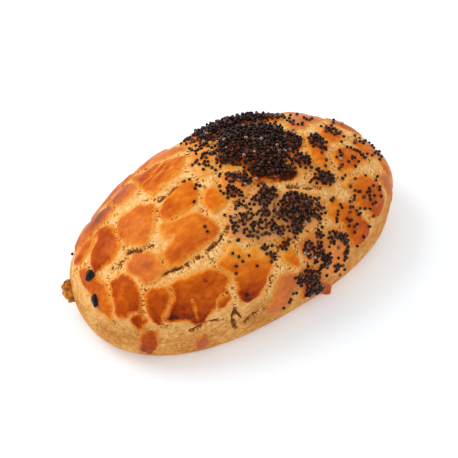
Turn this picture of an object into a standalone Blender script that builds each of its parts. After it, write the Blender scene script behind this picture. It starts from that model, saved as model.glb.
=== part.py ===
"""An oval potato pogaca: a soft filled bun whose egg-washed skin has cracked into plates.

Poppy seeds lie on one half of it. The bun is one closed solid: the skin's cracks, the lump of filling that
leaked out at one end and the seeds are all part of it. +X runs along the bun, +Z is up, and the bun rests
on the plane Z = 0.

The skin is laid out as a map: a point of the map is (along, across) in millimetres, measured over the
surface from the crown. Plates, splits and seeds are placed on that map, which is then wrapped round the bun.
"""

import math

import bmesh
import bpy
import numpy as np
from mathutils import Matrix, Vector

MM = 0.001

# The bun's body, in millimetres.
HALF_LENGTH = 52.5
HALF_WIDTH = 30.5
HEIGHT = 37.0
PLAN_POWER = 2.3  # 2 is an ellipse, and more is squarer
WIDEST_SHARE = 0.29  # of the height, where the bun is widest
TUCK_SHARE = 0.13  # how far the side turns in again below that, of the radius

# Where the plan swells or draws in: azimuth and spread in degrees, and millimetres outwards.
SWELLS = (
    (20, 30, -3.3),
    (70, 34, 0.9),
    (110, 34, 0.7),
    (150, 34, -1.6),
    (-160, 34, 1.6),
)

# The plates of glazed skin on the side that shows. Each plate is one or more lobes that run together:
# along, across, half length, half width, and the turn in degrees from the long axis.
PLATES = (
    # The end without seeds, from the far rim to the near one.
    ((-17, 24, 8, 4, -5),),
    ((-18, 14, 8, 5, 10),),
    ((-29, 19, 6.5, 5.5, 0),),
    ((-38, 19.5, 7, 4, -10),),
    ((-47, 21, 5, 4, 0),),
    ((-32.5, 3.5, 7, 5.6, 20),),
    ((-48, 12, 5, 3, 15),),
    ((-44.5, 5.2, 7, 4.6, 45),),
    ((-54, -3, 8.5, 3.4, 80),),
    ((-48.5, -11, 6.5, 5.2, -50),),
    ((-50.5, -19, 3, 2.2, -20),),
    ((-37.5, -10.5, 5.6, 4.6, 0), (-42.5, -6.6, 4, 1.9, 0)),
    ((-20.5, -1.5, 7, 4.2, 25),),
    ((-24, -10.5, 8.5, 5.4, 8), (-30, -12, 4.5, 3.6, 0)),
    ((-12.5, -6, 5, 4.4, -20),),
    ((-33.5, -25.5, 10.5, 5.6, -5),),
    ((-43.8, -20, 6, 4.4, 40),),
    ((-27, -31.5, 3, 1.7, 10),),
    ((-57.5, -25.5, 5, 2.6, 45),),
    ((-46.5, -38.8, 3.6, 2.2, 60),),
    # The middle, where the seeds lie thickest.
    ((1, 5, 8, 7.5, 0), (10, -1, 8.5, 8, -10)),
    ((4, 19, 15, 4.6, -8),),
    ((-10, 13, 5, 6.5, 0),),
    ((-4.5, -6.3, 6, 4, 25),),
    ((15.5, -8.3, 6.4, 2.8, -15),),
    ((19.5, 1.5, 4.4, 4.6, 0),),
    ((-6, -17.5, 8, 4.6, -10), (0.3, -14.2, 4, 3.6, 0)),
    ((8, -20.3, 7.5, 5.6, 10),),
    ((-8.5, -26.5, 5, 2.3, -10),),
    ((-4.5, -31, 4.2, 2.6, 0),),
    ((-17, -31.5, 7, 5.2, 75), (-20, -24.3, 5, 3.2, -10)),
    # The seeded end, and the near side below it.
    ((24.6, -5.5, 6.5, 3.4, 72),),
    ((19, -15.5, 5.2, 3.2, 10),),
    ((30, 9.5, 8, 4.2, -5),),
    ((36, -1.8, 7.5, 3.4, -8),),
    ((35, -11.5, 8.4, 4.5, -5),),
    ((44, -6.5, 5, 3.8, -30),),
    ((35.5, -24, 8, 5, -20), (29, -18.6, 5.5, 3, -10)),
    ((22, -26, 7, 4, -25), (28, -32.5, 5, 4.6, 0)),
    ((49.5, -17, 5.5, 3.2, 80),),
    ((10, -34, 7, 4.6, 0), (17, -36, 6, 6, 0)),
    ((3.5, -44, 8, 5, -10),),
    ((-8, -40.5, 6.4, 3.2, 40), (-13, -45, 4, 2.4, 20)),
)

# The rest of the skin is cracked in the same way, with plates drawn at random clear of the ones above.
DRAWN_PLATES_TRIED = 900
DRAWN_HALF_SIZE = (4.5, 7.0)
DRAWN_STRETCH = (1.0, 1.45)
DRAWN_TURN = 35  # degrees either way
DRAWN_SPACING_SHARE = 0.85  # of a plate's half size, kept clear of its neighbours
DRAWN_REACH = 0.95  # as a way down from the crown, where 1 is the widest line
DRAWN_BEYOND_Y = 14  # they start this far to the far side of the crown, and further towards the ends
DRAWN_BEYOND_SLOPE = 0.12
DRAWN_BEYOND_X = 42

CRACK_WIDTH = 1.7
CRACK_VARIES = (0.2, 9.0, 15)  # share of the width, how far apart, and the draw
PLATE_MARGIN = 0.6  # how far a plate reaches beyond its lobes where no other plate is near
BORDER_WOBBLES = ((0.9, 5.0, 11), (0.4, 1.9, 13))  # how far, how far apart, and the draw of the first of two
PLATE_RISE = 0.5
PLATE_EDGE = 0.4  # over this distance a plate's edge rolls down into the crack
PLATE_BOW = 0.3
PLATE_BOW_REACH = 5.0
SKIN_SUNK = 0.3  # the crack floors lie this far below the plain body
SKIN_SWELLS = ((0.5, 19.0, 31), (0.2, 9.0, 32))  # how far out, how far apart, and the draw
RELIEF_ENDS = 1.75  # as a way down from the crown, where 2 is the base's edge
RELIEF_FADES_FROM = 1.05
HEAP_RISE = 0.5  # where the seeds lie thickest
HEAP_FROM = 0.6  # of the seeds' thickness

# Splits that go deeper than the cracks: points on the map, then the half width and the depth.
SPLITS = (
    (((-46.7, -3), (-43.8, -4), (-39.8, -3.3), (-37.9, -5.2), (-36.1, -6), (-33.8, -7.8)), 0.6, 1.1),
    (((-38, -15.6), (-34, -16.6), (-30, -18), (-22, -18), (-18, -17.5), (-14.5, -16.2)), 0.7, 1.3),
    (((-24, 3.2), (-18.5, 3.8), (-14.5, 4.2)), 0.6, 0.9),
    (((-43, -31.7), (-40, -32.6), (-37.7, -33.1), (-34.6, -34.3), (-32.1, -35.7)), 0.6, 1.0),
    (((-24.9, -34.6), (-26, -36), (-28, -36.9), (-29.4, -38.6), (-30.5, -40.5), (-31, -41.6)), 0.8, 1.4),
    (((-14, -38), (-12, -36), (-10.5, -34)), 0.7, 1.1),
    (((8, -13.8), (12, -16), (17.5, -18.6)), 0.7, 1.1),
    (((-24.5, -42), (-20.6, -42)), 0.7, 0.8),
)
SPLIT_WAVE = (0.5, 2.2, 21)  # how far a split strays, how far apart, and the draw
SPLIT_RAGGED = (0.3, 2.6, 22)  # share of the depth, how far apart, and the draw
SPLIT_SLOPE = 1.6  # a split fades out over its half width times this

# The lump of filling that baked on where it leaked out of the seam.
LUMP_AZIMUTH = 169
LUMP_HEIGHT = 8.8
LUMP_SIZE = (2.3, 2.8, 3.3)
LUMP_CRAGS = (0.55, 1.6, 41)  # how far out, how far apart, and the draw

# A flap of skin that lifted at the near edge, on the map, and how far it stands out.
FLAP = (19.0, -50.8)
FLAP_SPREAD = 1.8
FLAP_OUT = 1.6

# Where the poppy seeds lie: along, across, half length, half width, turn, and how thickly from 0 to 1.
SEED_PATCHES = (
    (5, 3, 13, 9.5, -12, 1.0),
    (4, 19, 16, 6, -8, 0.95),
    (-4.5, -6.5, 5.5, 4.5, 25, 0.7),
    (0.5, -14, 4.5, 4, 0, 0.85),
    (7.8, -20.4, 7, 5.5, 10, 0.9),
    (-5, -18, 7, 4.5, -10, 0.5),
    (15.5, -8, 6.5, 3.2, -15, 0.65),
    (19, -15.5, 5, 3.6, 10, 0.6),
    (19.5, 2.5, 6, 8, 0, 0.5),
    (24.5, -5, 3.6, 7, 0, 0.4),
    (36, -9, 10, 9, 0, 0.22),
    (34, -24, 10, 7, -20, 0.12),
    (23, -28, 8, 6, -20, 0.16),
    (12, -35, 10, 6, 0, 0.42),
    (4, -44, 5.5, 4.6, -10, 0.7),
    (-4, -28, 6, 4, 0, 0.25),
    (-18, -26, 6, 4.5, 0, 0.14),
    (-10, 12, 6, 8, 0, 0.32),
)
PATCH_FADE = 2.4  # a patch thins out over this distance
POPPY_SIZE = (0.55, 0.52, 0.49)  # half its length, width and height
SEED_SINK = 0.35  # of its half height
SEED_FIELD = ((-26, 50), (-50, 27))  # the part of the map that they lie on
SEED_TURN = 37.0  # degrees from one seed to the next
SEED_CLEAR_OF_CRACK = 0.1
SEEDS_TRIED = 4000
SEEDS_MOST = 150
SEED_SPACING = 2.7  # where they lie thinly
SEED_CROWDING = 1.0  # how much closer they lie where they are thickest

# Two larger black seeds at the bare end: place on the map, half length, half width, half height, turn.
BLACK_SEEDS = (
    (-52.2, 1.5, 1.55, 1.05, 0.85, 35),
    (-56.5, -5.0, 1.5, 0.95, 0.8, -75),
)

DRAW_SEED = 7
BALL_WIDEST = 100.0  # degrees down the ball that becomes the body, where the widest line comes from
BALL_BASE = 132.0  # and the base's edge
BODY_TRIANGLES = 6000
FLAT_WITHIN = 0.03  # points this near the base plane are on it
UNION_SOLVER = "MANIFOLD"
ROUND_STEPS = 48
CRUST_COLOUR = (0.72, 0.27, 0.05, 1.0)


def ease(share):
    """0 at 0 and below, 1 at 1 and above, and smooth between."""
    share = np.clip(share, 0.0, 1.0)
    return share * share * (3 - 2 * share)


def lattice_noise(x, y, size, seed):
    """Smooth noise from -1 to 1 over the map, whose bumps are size millimetres apart."""
    cells = 64
    table = np.random.default_rng(seed).uniform(-1, 1, (cells, cells))
    gx, gy = x / size, y / size
    ix, iy = np.floor(gx).astype(int), np.floor(gy).astype(int)
    fx, fy = ease(gx - ix), ease(gy - iy)

    def corner(dx, dy):
        return table[(ix + dx) % cells, (iy + dy) % cells]

    near = corner(0, 0) * (1 - fx) + corner(1, 0) * fx
    far = corner(0, 1) * (1 - fx) + corner(1, 1) * fx
    return near * (1 - fy) + far * fy


def plan_radius(azimuth):
    """The bun's widest radius towards an azimuth, in millimetres."""
    c, s = np.abs(np.cos(azimuth)), np.abs(np.sin(azimuth))
    radius = ((c / HALF_LENGTH) ** PLAN_POWER + (s / HALF_WIDTH) ** PLAN_POWER) ** (-1 / PLAN_POWER)
    for degrees, spread, out in SWELLS:
        away = (azimuth - math.radians(degrees) + math.pi) % (2 * math.pi) - math.pi
        radius = radius + out * np.exp(-((away / math.radians(spread)) ** 2))
    return radius


def profile(way):
    """Shares of the radius and the height at way: 0 is the crown, 1 the widest line, 2 the base's edge."""
    down = np.clip(way, 0, 1) * math.pi / 2
    under = np.clip(way - 1, 0, 1) * math.pi / 2
    out = np.where(way <= 1, np.sin(down), 1 - TUCK_SHARE * (1 - np.cos(under)))
    domed = WIDEST_SHARE + (1 - WIDEST_SHARE) * np.cos(down)
    up = np.where(way <= 1, domed, WIDEST_SHARE * (1 - np.sin(under)))
    return out, up


def lengths_over(radius):
    """Steps of way, and for each radius the length over the surface from the crown to each step."""
    steps = np.linspace(0, 2, ROUND_STEPS + 1)
    out, up = profile(steps)
    radial = np.outer(radius, out)
    height = np.broadcast_to(up * HEIGHT, radial.shape)
    pieces = np.hypot(np.diff(radial, axis=1), np.diff(height, axis=1))
    return steps, np.concatenate([np.zeros((len(radial), 1)), np.cumsum(pieces, axis=1)], axis=1)


def map_place(azimuth, way):
    """The place on the map of a point of the body."""
    radius = plan_radius(azimuth)
    steps, lengths = lengths_over(radius)
    position = np.clip(way, 0, 2) / 2 * ROUND_STEPS
    low = np.minimum(position.astype(int), ROUND_STEPS - 1)
    rows = np.arange(len(radius))
    share = position - low
    length = lengths[rows, low] * (1 - share) + lengths[rows, low + 1] * share
    return length * np.cos(azimuth), length * np.sin(azimuth)


def body_point(azimuth, way):
    """Points of the plain body, in millimetres."""
    out, up = profile(way)
    radius = plan_radius(azimuth) * out
    return np.stack([radius * np.cos(azimuth), radius * np.sin(azimuth), up * HEIGHT], axis=-1)


def wrap(x, y):
    """(point, outward direction, way) on the plain body for places on the map."""
    x, y = np.atleast_1d(np.asarray(x, float)), np.atleast_1d(np.asarray(y, float))

    def lift(px, py):
        azimuth = np.arctan2(py, px)
        steps, lengths = lengths_over(plan_radius(azimuth))
        length = np.hypot(px, py)
        way = np.array([np.interp(a, row, steps) for a, row in zip(length, lengths)])
        return body_point(azimuth, way), way

    step = 0.2
    point, way = lift(x, y)
    along = lift(x + step, y)[0] - point
    across = lift(x, y + step)[0] - point
    outward = np.cross(along, across)
    return point, outward / np.linalg.norm(outward, axis=-1, keepdims=True), way


def lobe_depth(x, y, lobe):
    """Millimetres inside a lobe's edge, and negative outside it."""
    cx, cy, half_length, half_width, turn = lobe
    c, s = math.cos(math.radians(turn)), math.sin(math.radians(turn))
    along = ((x - cx) * c + (y - cy) * s) / half_length
    across = ((y - cy) * c - (x - cx) * s) / half_width
    return (1 - np.hypot(along, across)) * math.sqrt(half_length * half_width)


def drawn_plates():
    """Plates for the skin that the ones above leave bare: places thrown at random and kept where clear."""
    draw = np.random.default_rng(DRAW_SEED)
    kept = []
    for _ in range(DRAWN_PLATES_TRIED):
        azimuth = draw.uniform(-math.pi, math.pi)
        way = DRAWN_REACH * math.sqrt(draw.uniform())
        size = draw.uniform(*DRAWN_HALF_SIZE)
        stretch, turn = draw.uniform(*DRAWN_STRETCH), draw.uniform(-DRAWN_TURN, DRAWN_TURN)
        x, y = (float(v[0]) for v in map_place(np.array([azimuth]), np.array([way])))
        faces_the_far_side = y > DRAWN_BEYOND_Y + DRAWN_BEYOND_SLOPE * abs(x) or x > DRAWN_BEYOND_X
        if not faces_the_far_side:
            continue
        taken = [lobe for plate in PLATES for lobe in plate] + kept
        if all(lobe_depth(x, y, lobe) < -DRAWN_SPACING_SHARE * size for lobe in taken):
            kept.append((x, y, size * math.sqrt(stretch), size / math.sqrt(stretch), turn))
    return [(lobe,) for lobe in kept]


def plate_edge(x, y, plates):
    """Millimetres inside the edge of the nearest plate, negative in the cracks and on the bare sides."""
    wx = x + sum(far * lattice_noise(x, y, size, seed) for far, size, seed in BORDER_WOBBLES)
    wy = y + sum(far * lattice_noise(x, y, size, seed + 1) for far, size, seed in BORDER_WOBBLES)
    best = np.full(np.shape(x), -99.0)
    second = best.copy()
    for plate in plates:
        depth = np.max([lobe_depth(wx, wy, lobe) for lobe in plate], axis=0)
        second = np.maximum(second, np.minimum(best, depth))
        best = np.maximum(best, depth)
    share, size, seed = CRACK_VARIES
    half_gap = CRACK_WIDTH * (0.5 + share * lattice_noise(x, y, size, seed))
    return np.minimum(best + PLATE_MARGIN, (best - second) / 2 - half_gap)


def split_depth(x, y):
    """How deep the splits cut, in millimetres."""
    depth = np.zeros(np.shape(x))
    stray, stray_size, stray_seed = SPLIT_WAVE
    wave = stray * lattice_noise(x, y, stray_size, stray_seed)
    share, size, seed = SPLIT_RAGGED
    ragged = 1 - share + share * lattice_noise(x, y, size, seed)
    for points, half_width, deepest in SPLITS:
        away = np.full(np.shape(x), 99.0)
        for (ax, ay), (bx, by) in zip(points, points[1:]):
            dx, dy = bx - ax, by - ay
            along = np.clip(((x - ax) * dx + (y - ay) * dy) / (dx * dx + dy * dy), 0, 1)
            away = np.minimum(away, np.hypot(x - ax - along * dx, y + wave - ay - along * dy))
        depth = np.maximum(depth, deepest * ragged * ease(1 - away / (half_width * SPLIT_SLOPE)))
    return depth


def relief(x, y, way, plates):
    """How far the skin stands out from the plain body, in millimetres."""
    edge = plate_edge(x, y, plates)
    rolled = 1 - np.exp(-np.clip(edge, 0, None) / PLATE_EDGE)
    bowed = ease(edge / PLATE_BOW_REACH)
    swell = sum(out * lattice_noise(x, y, size, seed) for out, size, seed in SKIN_SWELLS)
    flap = FLAP_OUT * np.exp(-(((x - FLAP[0]) ** 2 + (y - FLAP[1]) ** 2) / FLAP_SPREAD**2))
    heap = HEAP_RISE * ease((seed_thickness(x, y) - HEAP_FROM) / (1 - HEAP_FROM))
    skin = PLATE_RISE * rolled + PLATE_BOW * bowed - SKIN_SUNK - split_depth(x, y) + swell + heap
    return skin * ease((RELIEF_ENDS - way) / (RELIEF_ENDS - RELIEF_FADES_FROM)) + flap


def body_mesh(plates):
    """The bun's own surface as a fine mesh, from a round ball whose points are moved to the bun."""
    mesh = bpy.data.meshes.new("bun")
    ball = bmesh.new()
    bmesh.ops.create_icosphere(ball, subdivisions=7, radius=1.0)
    ball.to_mesh(mesh)
    ball.free()

    around = np.empty(len(mesh.vertices) * 3)
    mesh.vertices.foreach_get("co", around)
    around = around.reshape(-1, 3)
    azimuth = np.arctan2(around[:, 1] * HALF_WIDTH, around[:, 0] * HALF_LENGTH)
    fall = np.degrees(np.arccos(np.clip(around[:, 2], -1, 1)))

    under = (fall - BALL_WIDEST) / (BALL_BASE - BALL_WIDEST)
    way = np.where(fall < BALL_WIDEST, fall / BALL_WIDEST, 1 + under)
    point = body_point(azimuth, np.clip(way, 0, 2))
    x, y = map_place(azimuth, way)
    out = relief(x, y, way, plates)[:, None] * wrap_outward(azimuth, np.clip(way, 0, 2))
    point = point + out * (way < 2)[:, None]
    inwards = np.clip((180 - fall) / (180 - BALL_BASE), 0, 1)
    point[:, :2] *= np.where(way >= 2, inwards, 1.0)[:, None]
    point[:, 2] = np.where(way >= 2, 0.0, np.maximum(point[:, 2], 0.0))

    mesh.vertices.foreach_set("co", (point * MM).ravel())
    mesh.update()
    return mesh


def wrap_outward(azimuth, way):
    """The outward direction of the plain body at points given by azimuth and way."""
    step = 1e-3
    turned = body_point(azimuth + step, way) - body_point(azimuth - step, way)
    lowered = body_point(azimuth, np.clip(way + step, 0, 2)) - body_point(azimuth, np.clip(way - step, 0, 2))
    outward = np.cross(lowered, turned)
    length = np.linalg.norm(outward, axis=-1, keepdims=True)
    return np.where(length > 1e-12, outward / np.maximum(length, 1e-12), np.array([0.0, 0.0, 1.0]))


def lump_object():
    """The craggy lump of baked filling at the bare end."""
    azimuth = math.radians(LUMP_AZIMUTH)
    foot = body_point(np.array([azimuth]), np.array([1.0]))[0]
    mesh = bpy.data.meshes.new("lump")
    ball = bmesh.new()
    bmesh.ops.create_icosphere(ball, subdivisions=3, radius=1.0)
    out, size, seed = LUMP_CRAGS
    for vertex in ball.verts:
        place = np.array(vertex.co) * LUMP_SIZE
        crag = out * lattice_noise(place[:1] * 2 + place[2], place[1:2] * 2 - place[2], size, seed)[0]
        vertex.co = Vector(place + np.array(vertex.co) * crag) * MM
    ball.to_mesh(mesh)
    ball.free()
    lump = bpy.data.objects.new("lump", mesh)
    lump.location = Vector((foot[0], foot[1], LUMP_HEIGHT)) * MM
    lump.rotation_euler = (0, 0, azimuth)
    return lump


def seed_thickness(x, y):
    """How thickly the seeds lie at a place on the map, from 0 to 1."""
    thickness = np.zeros(np.shape(x))
    for *lobe, most in SEED_PATCHES:
        thickness = np.maximum(thickness, most * ease(0.5 + lobe_depth(x, y, lobe) / PATCH_FADE))
    return thickness


def poppy_places(plates):
    """Places on the map for the seeds that the solid carries, spread evenly where the seeds lie."""
    draw = np.random.default_rng(DRAW_SEED + 1)
    places = []
    for _ in range(SEEDS_TRIED):
        x, y, chance = draw.uniform(*SEED_FIELD[0]), draw.uniform(*SEED_FIELD[1]), draw.uniform(0.05, 0.95)
        thickness = float(seed_thickness(x, y))
        spacing = SEED_SPACING - SEED_CROWDING * thickness
        if len(places) >= SEEDS_MOST or thickness < chance:
            continue
        if plate_edge(np.array([x]), np.array([y]), plates)[0] < SEED_CLEAR_OF_CRACK:
            continue
        if all((x - px) ** 2 + (y - py) ** 2 > spacing**2 for px, py in places):
            places.append((x, y))
    return places


def seed_mesh(name, half_length, half_width, half_height):
    """A seed of few sides, its length along X."""
    mesh = bpy.data.meshes.new(name)
    ball = bmesh.new()
    bmesh.ops.create_icosphere(ball, subdivisions=1, radius=1.0)
    bmesh.ops.scale(ball, vec=Vector((half_length, half_width, half_height)) * MM, verts=ball.verts)
    ball.to_mesh(mesh)
    ball.free()
    return mesh


def lay_seed(name, mesh, place, clearance, turn, plates):
    """A seed on the skin at a place on the map, its middle that far above the skin."""
    x, y = place
    point, outward, way = wrap(x, y)
    lift = relief(np.array([x]), np.array([y]), way, plates)[0] + clearance
    up = Vector(outward[0])
    side = up.cross(Vector((math.cos(math.radians(turn)), math.sin(math.radians(turn)), 0))).normalized()
    seed = bpy.data.objects.new(name, mesh)
    seed.location = Vector(point[0] + outward[0] * lift) * MM
    seed.rotation_euler = Matrix((side.cross(up), side, up)).transposed().to_euler()
    return seed


def seeds(plates):
    """All the seeds that the solid carries."""
    poppy = seed_mesh("poppy", *POPPY_SIZE)
    above = POPPY_SIZE[2] * (1 - SEED_SINK)
    laid = [
        lay_seed(f"poppy_{number}", poppy, place, above, SEED_TURN * number, plates)
        for number, place in enumerate(poppy_places(plates))
    ]
    for number, (x, y, *size, turn) in enumerate(BLACK_SEEDS):
        mesh = seed_mesh(f"black_seed_{number}", *size)
        laid.append(lay_seed(f"black_seed_{number}", mesh, (x, y), size[2] * (1 - SEED_SINK), turn, plates))
    return laid


def fix_modifiers(obj):
    """Replaces the object's mesh by the one that its modifiers make."""
    bpy.context.view_layer.update()
    made = bpy.data.meshes.new_from_object(obj.evaluated_get(bpy.context.evaluated_depsgraph_get()))
    obj.modifiers.clear()
    obj.data = made


def flatten_base(mesh):
    """Puts the points of the underside, which thinning may shift a little, back on the plane Z = 0."""
    for vertex in mesh.vertices:
        if vertex.co.z < FLAT_WITHIN * MM:
            vertex.co.z = 0.0


def centre_on_origin(mesh):
    """Moves the mesh so that the middle of its underside's bounding box is the origin."""
    points = np.array([vertex.co for vertex in mesh.vertices])
    low, high = points.min(axis=0), points.max(axis=0)
    middle = (low + high) / 2
    mesh.transform(Matrix.Translation((-middle[0], -middle[1], -low[2])))
    print("shift to the origin, mm:", [round(float(v) / MM, 3) for v in (-middle[0], -middle[1], -low[2])])


def crust_material():
    """Egg-washed crust."""
    material = bpy.data.materials.new("crust")
    material.use_nodes = True
    shader = material.node_tree.nodes["Principled BSDF"]
    shader.inputs["Base Color"].default_value = CRUST_COLOUR
    shader.inputs["Roughness"].default_value = 0.4
    shader.inputs["Metallic"].default_value = 0.0
    return material


def build():
    """The whole bun."""
    for old in list(bpy.data.objects):
        bpy.data.objects.remove(old)

    plates = list(PLATES) + drawn_plates()
    bun = bpy.data.objects.new("bun", body_mesh(plates))
    bpy.context.scene.collection.objects.link(bun)
    thin = bun.modifiers.new("thin out", "DECIMATE")
    thin.ratio = BODY_TRIANGLES / len(bun.data.polygons)
    fix_modifiers(bun)
    flatten_base(bun.data)

    toppings = bpy.data.collections.new("toppings")
    bpy.context.scene.collection.children.link(toppings)
    for topping in [lump_object(), *seeds(plates)]:
        toppings.objects.link(topping)
    join = bun.modifiers.new("join", "BOOLEAN")
    join.operation = "UNION"
    join.operand_type = "COLLECTION"
    join.collection = toppings
    join.solver = UNION_SOLVER
    fix_modifiers(bun)
    for topping in list(toppings.objects):
        bpy.data.objects.remove(topping)
    bpy.data.collections.remove(toppings)

    centre_on_origin(bun.data)
    bun.data.materials.clear()
    bun.data.materials.append(crust_material())
    bun.data.shade_smooth()
    bun.data.set_sharp_from_angle(angle=math.radians(40))
    print("triangles:", sum(len(face.vertices) - 2 for face in bun.data.polygons))


build()
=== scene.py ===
import math

import bmesh
import bpy
import numpy as np
from mathutils import Matrix, Vector, noise


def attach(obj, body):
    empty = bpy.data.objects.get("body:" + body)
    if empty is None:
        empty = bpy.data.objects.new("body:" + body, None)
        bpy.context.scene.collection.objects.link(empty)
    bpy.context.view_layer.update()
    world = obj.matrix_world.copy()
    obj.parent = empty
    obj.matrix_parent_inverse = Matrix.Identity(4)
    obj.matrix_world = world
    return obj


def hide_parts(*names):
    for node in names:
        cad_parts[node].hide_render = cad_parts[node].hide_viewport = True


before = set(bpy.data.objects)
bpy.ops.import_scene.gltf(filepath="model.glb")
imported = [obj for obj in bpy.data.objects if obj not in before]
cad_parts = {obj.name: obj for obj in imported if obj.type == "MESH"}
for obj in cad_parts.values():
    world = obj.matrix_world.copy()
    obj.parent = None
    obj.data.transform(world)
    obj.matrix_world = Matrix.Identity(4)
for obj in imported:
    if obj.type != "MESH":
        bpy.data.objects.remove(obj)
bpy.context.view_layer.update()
mm = 0.001

# The bun's skin is laid out as a map: (along, across) in millimetres over the surface from the crown.
# The same shapes as in the solid are used, and the fine surface comes on top of them.
bun = {
    "halfLength": 52.5,
    "halfWidth": 30.5,
    "height": 37.0,
    "planPower": 2.3,  # 2 is an ellipse, more is squarer
    "widestShare": 0.29,  # of the height
    "tuckShare": 0.13,  # how far the side turns in below the widest line
    # azimuth and spread in degrees, millimetres outwards
    "swells": ((20, 30, -3.3), (70, 34, 0.9), (110, 34, 0.7), (150, 34, -1.6), (-160, 34, 1.6)),
    "crown": (0.85, 0.07),  # where the crown stands, off the middle of the bun
    "cellsAlong": 352,
    "cellsAcross": 274,
    "roundSteps": 48,
    "baseInset": 0.965,
}


def ease(share):
    share = np.clip(share, 0.0, 1.0)
    return share * share * (3 - 2 * share)


def latticeNoise(x, y, size, seed):
    # smooth noise from -1 to 1 over the map, its bumps size millimetres apart
    cells = 64
    table = np.random.default_rng(seed).uniform(-1, 1, (cells, cells))
    gx, gy = x / size, y / size
    ix, iy = np.floor(gx).astype(int), np.floor(gy).astype(int)
    fx, fy = ease(gx - ix), ease(gy - iy)

    def corner(dx, dy):
        return table[(ix + dx) % cells, (iy + dy) % cells]

    near = corner(0, 0) * (1 - fx) + corner(1, 0) * fx
    far = corner(0, 1) * (1 - fx) + corner(1, 1) * fx
    return near * (1 - fy) + far * fy


def planRadius(azimuth):
    c, s = np.abs(np.cos(azimuth)), np.abs(np.sin(azimuth))
    power = bun["planPower"]
    radius = ((c / bun["halfLength"]) ** power + (s / bun["halfWidth"]) ** power) ** (-1 / power)
    for degrees, spread, out in bun["swells"]:
        away = (azimuth - math.radians(degrees) + math.pi) % (2 * math.pi) - math.pi
        radius = radius + out * np.exp(-((away / math.radians(spread)) ** 2))
    return radius


def profile(way):
    # shares of the radius and the height at way: 0 is the crown, 1 the widest line, 2 the base's edge
    down = np.clip(way, 0, 1) * math.pi / 2
    under = np.clip(way - 1, 0, 1) * math.pi / 2
    widest = bun["widestShare"]
    out = np.where(way <= 1, np.sin(down), 1 - bun["tuckShare"] * (1 - np.cos(under)))
    up = np.where(way <= 1, widest + (1 - widest) * np.cos(down), widest * (1 - np.sin(under)))
    return out, up


def lengthsOver(radius):
    steps = np.linspace(0, 2, bun["roundSteps"] + 1)
    out, up = profile(steps)
    radial = np.outer(radius, out)
    height = np.broadcast_to(up * bun["height"], radial.shape)
    pieces = np.hypot(np.diff(radial, axis=1), np.diff(height, axis=1))
    return steps, np.concatenate([np.zeros((len(radial), 1)), np.cumsum(pieces, axis=1)], axis=1)


def mapPlace(azimuth, way):
    lengths = lengthsOver(planRadius(azimuth))[1]
    position = np.clip(way, 0, 2) / 2 * bun["roundSteps"]
    low = np.minimum(position.astype(int), bun["roundSteps"] - 1)
    rows = np.arange(len(lengths))
    share = position - low
    length = lengths[rows, low] * (1 - share) + lengths[rows, low + 1] * share
    return length * np.cos(azimuth), length * np.sin(azimuth)


def wayAt(azimuth, length):
    # how far down the bun's side a length over the surface reaches, towards an azimuth
    steps, lengths = lengthsOver(planRadius(azimuth))
    low = np.clip((lengths <= length[:, None]).sum(axis=1) - 1, 0, bun["roundSteps"] - 1)
    rows = np.arange(len(lengths))
    run = lengths[rows, low + 1] - lengths[rows, low]
    share = np.clip((length - lengths[rows, low]) / run, 0, 1)
    return steps[low] + share * (steps[1] - steps[0])


def bodyPoint(azimuth, way):
    out, up = profile(way)
    radius = planRadius(azimuth) * out
    return np.stack([radius * np.cos(azimuth), radius * np.sin(azimuth), up * bun["height"]], axis=-1)


def bodyOutward(azimuth, way):
    step = 1e-3
    turned = bodyPoint(azimuth + step, way) - bodyPoint(azimuth - step, way)
    lowered = bodyPoint(azimuth, np.clip(way + step, 0, 2)) - bodyPoint(azimuth, np.clip(way - step, 0, 2))
    outward = np.cross(lowered, turned)
    length = np.linalg.norm(outward, axis=-1, keepdims=True)
    return np.where(length > 1e-12, outward / np.maximum(length, 1e-12), np.array([0.0, 0.0, 1.0]))


def onBody(x, y):
    azimuth = np.arctan2(y, x)
    return bodyPoint(azimuth, wayAt(azimuth, np.hypot(x, y)))


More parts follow.
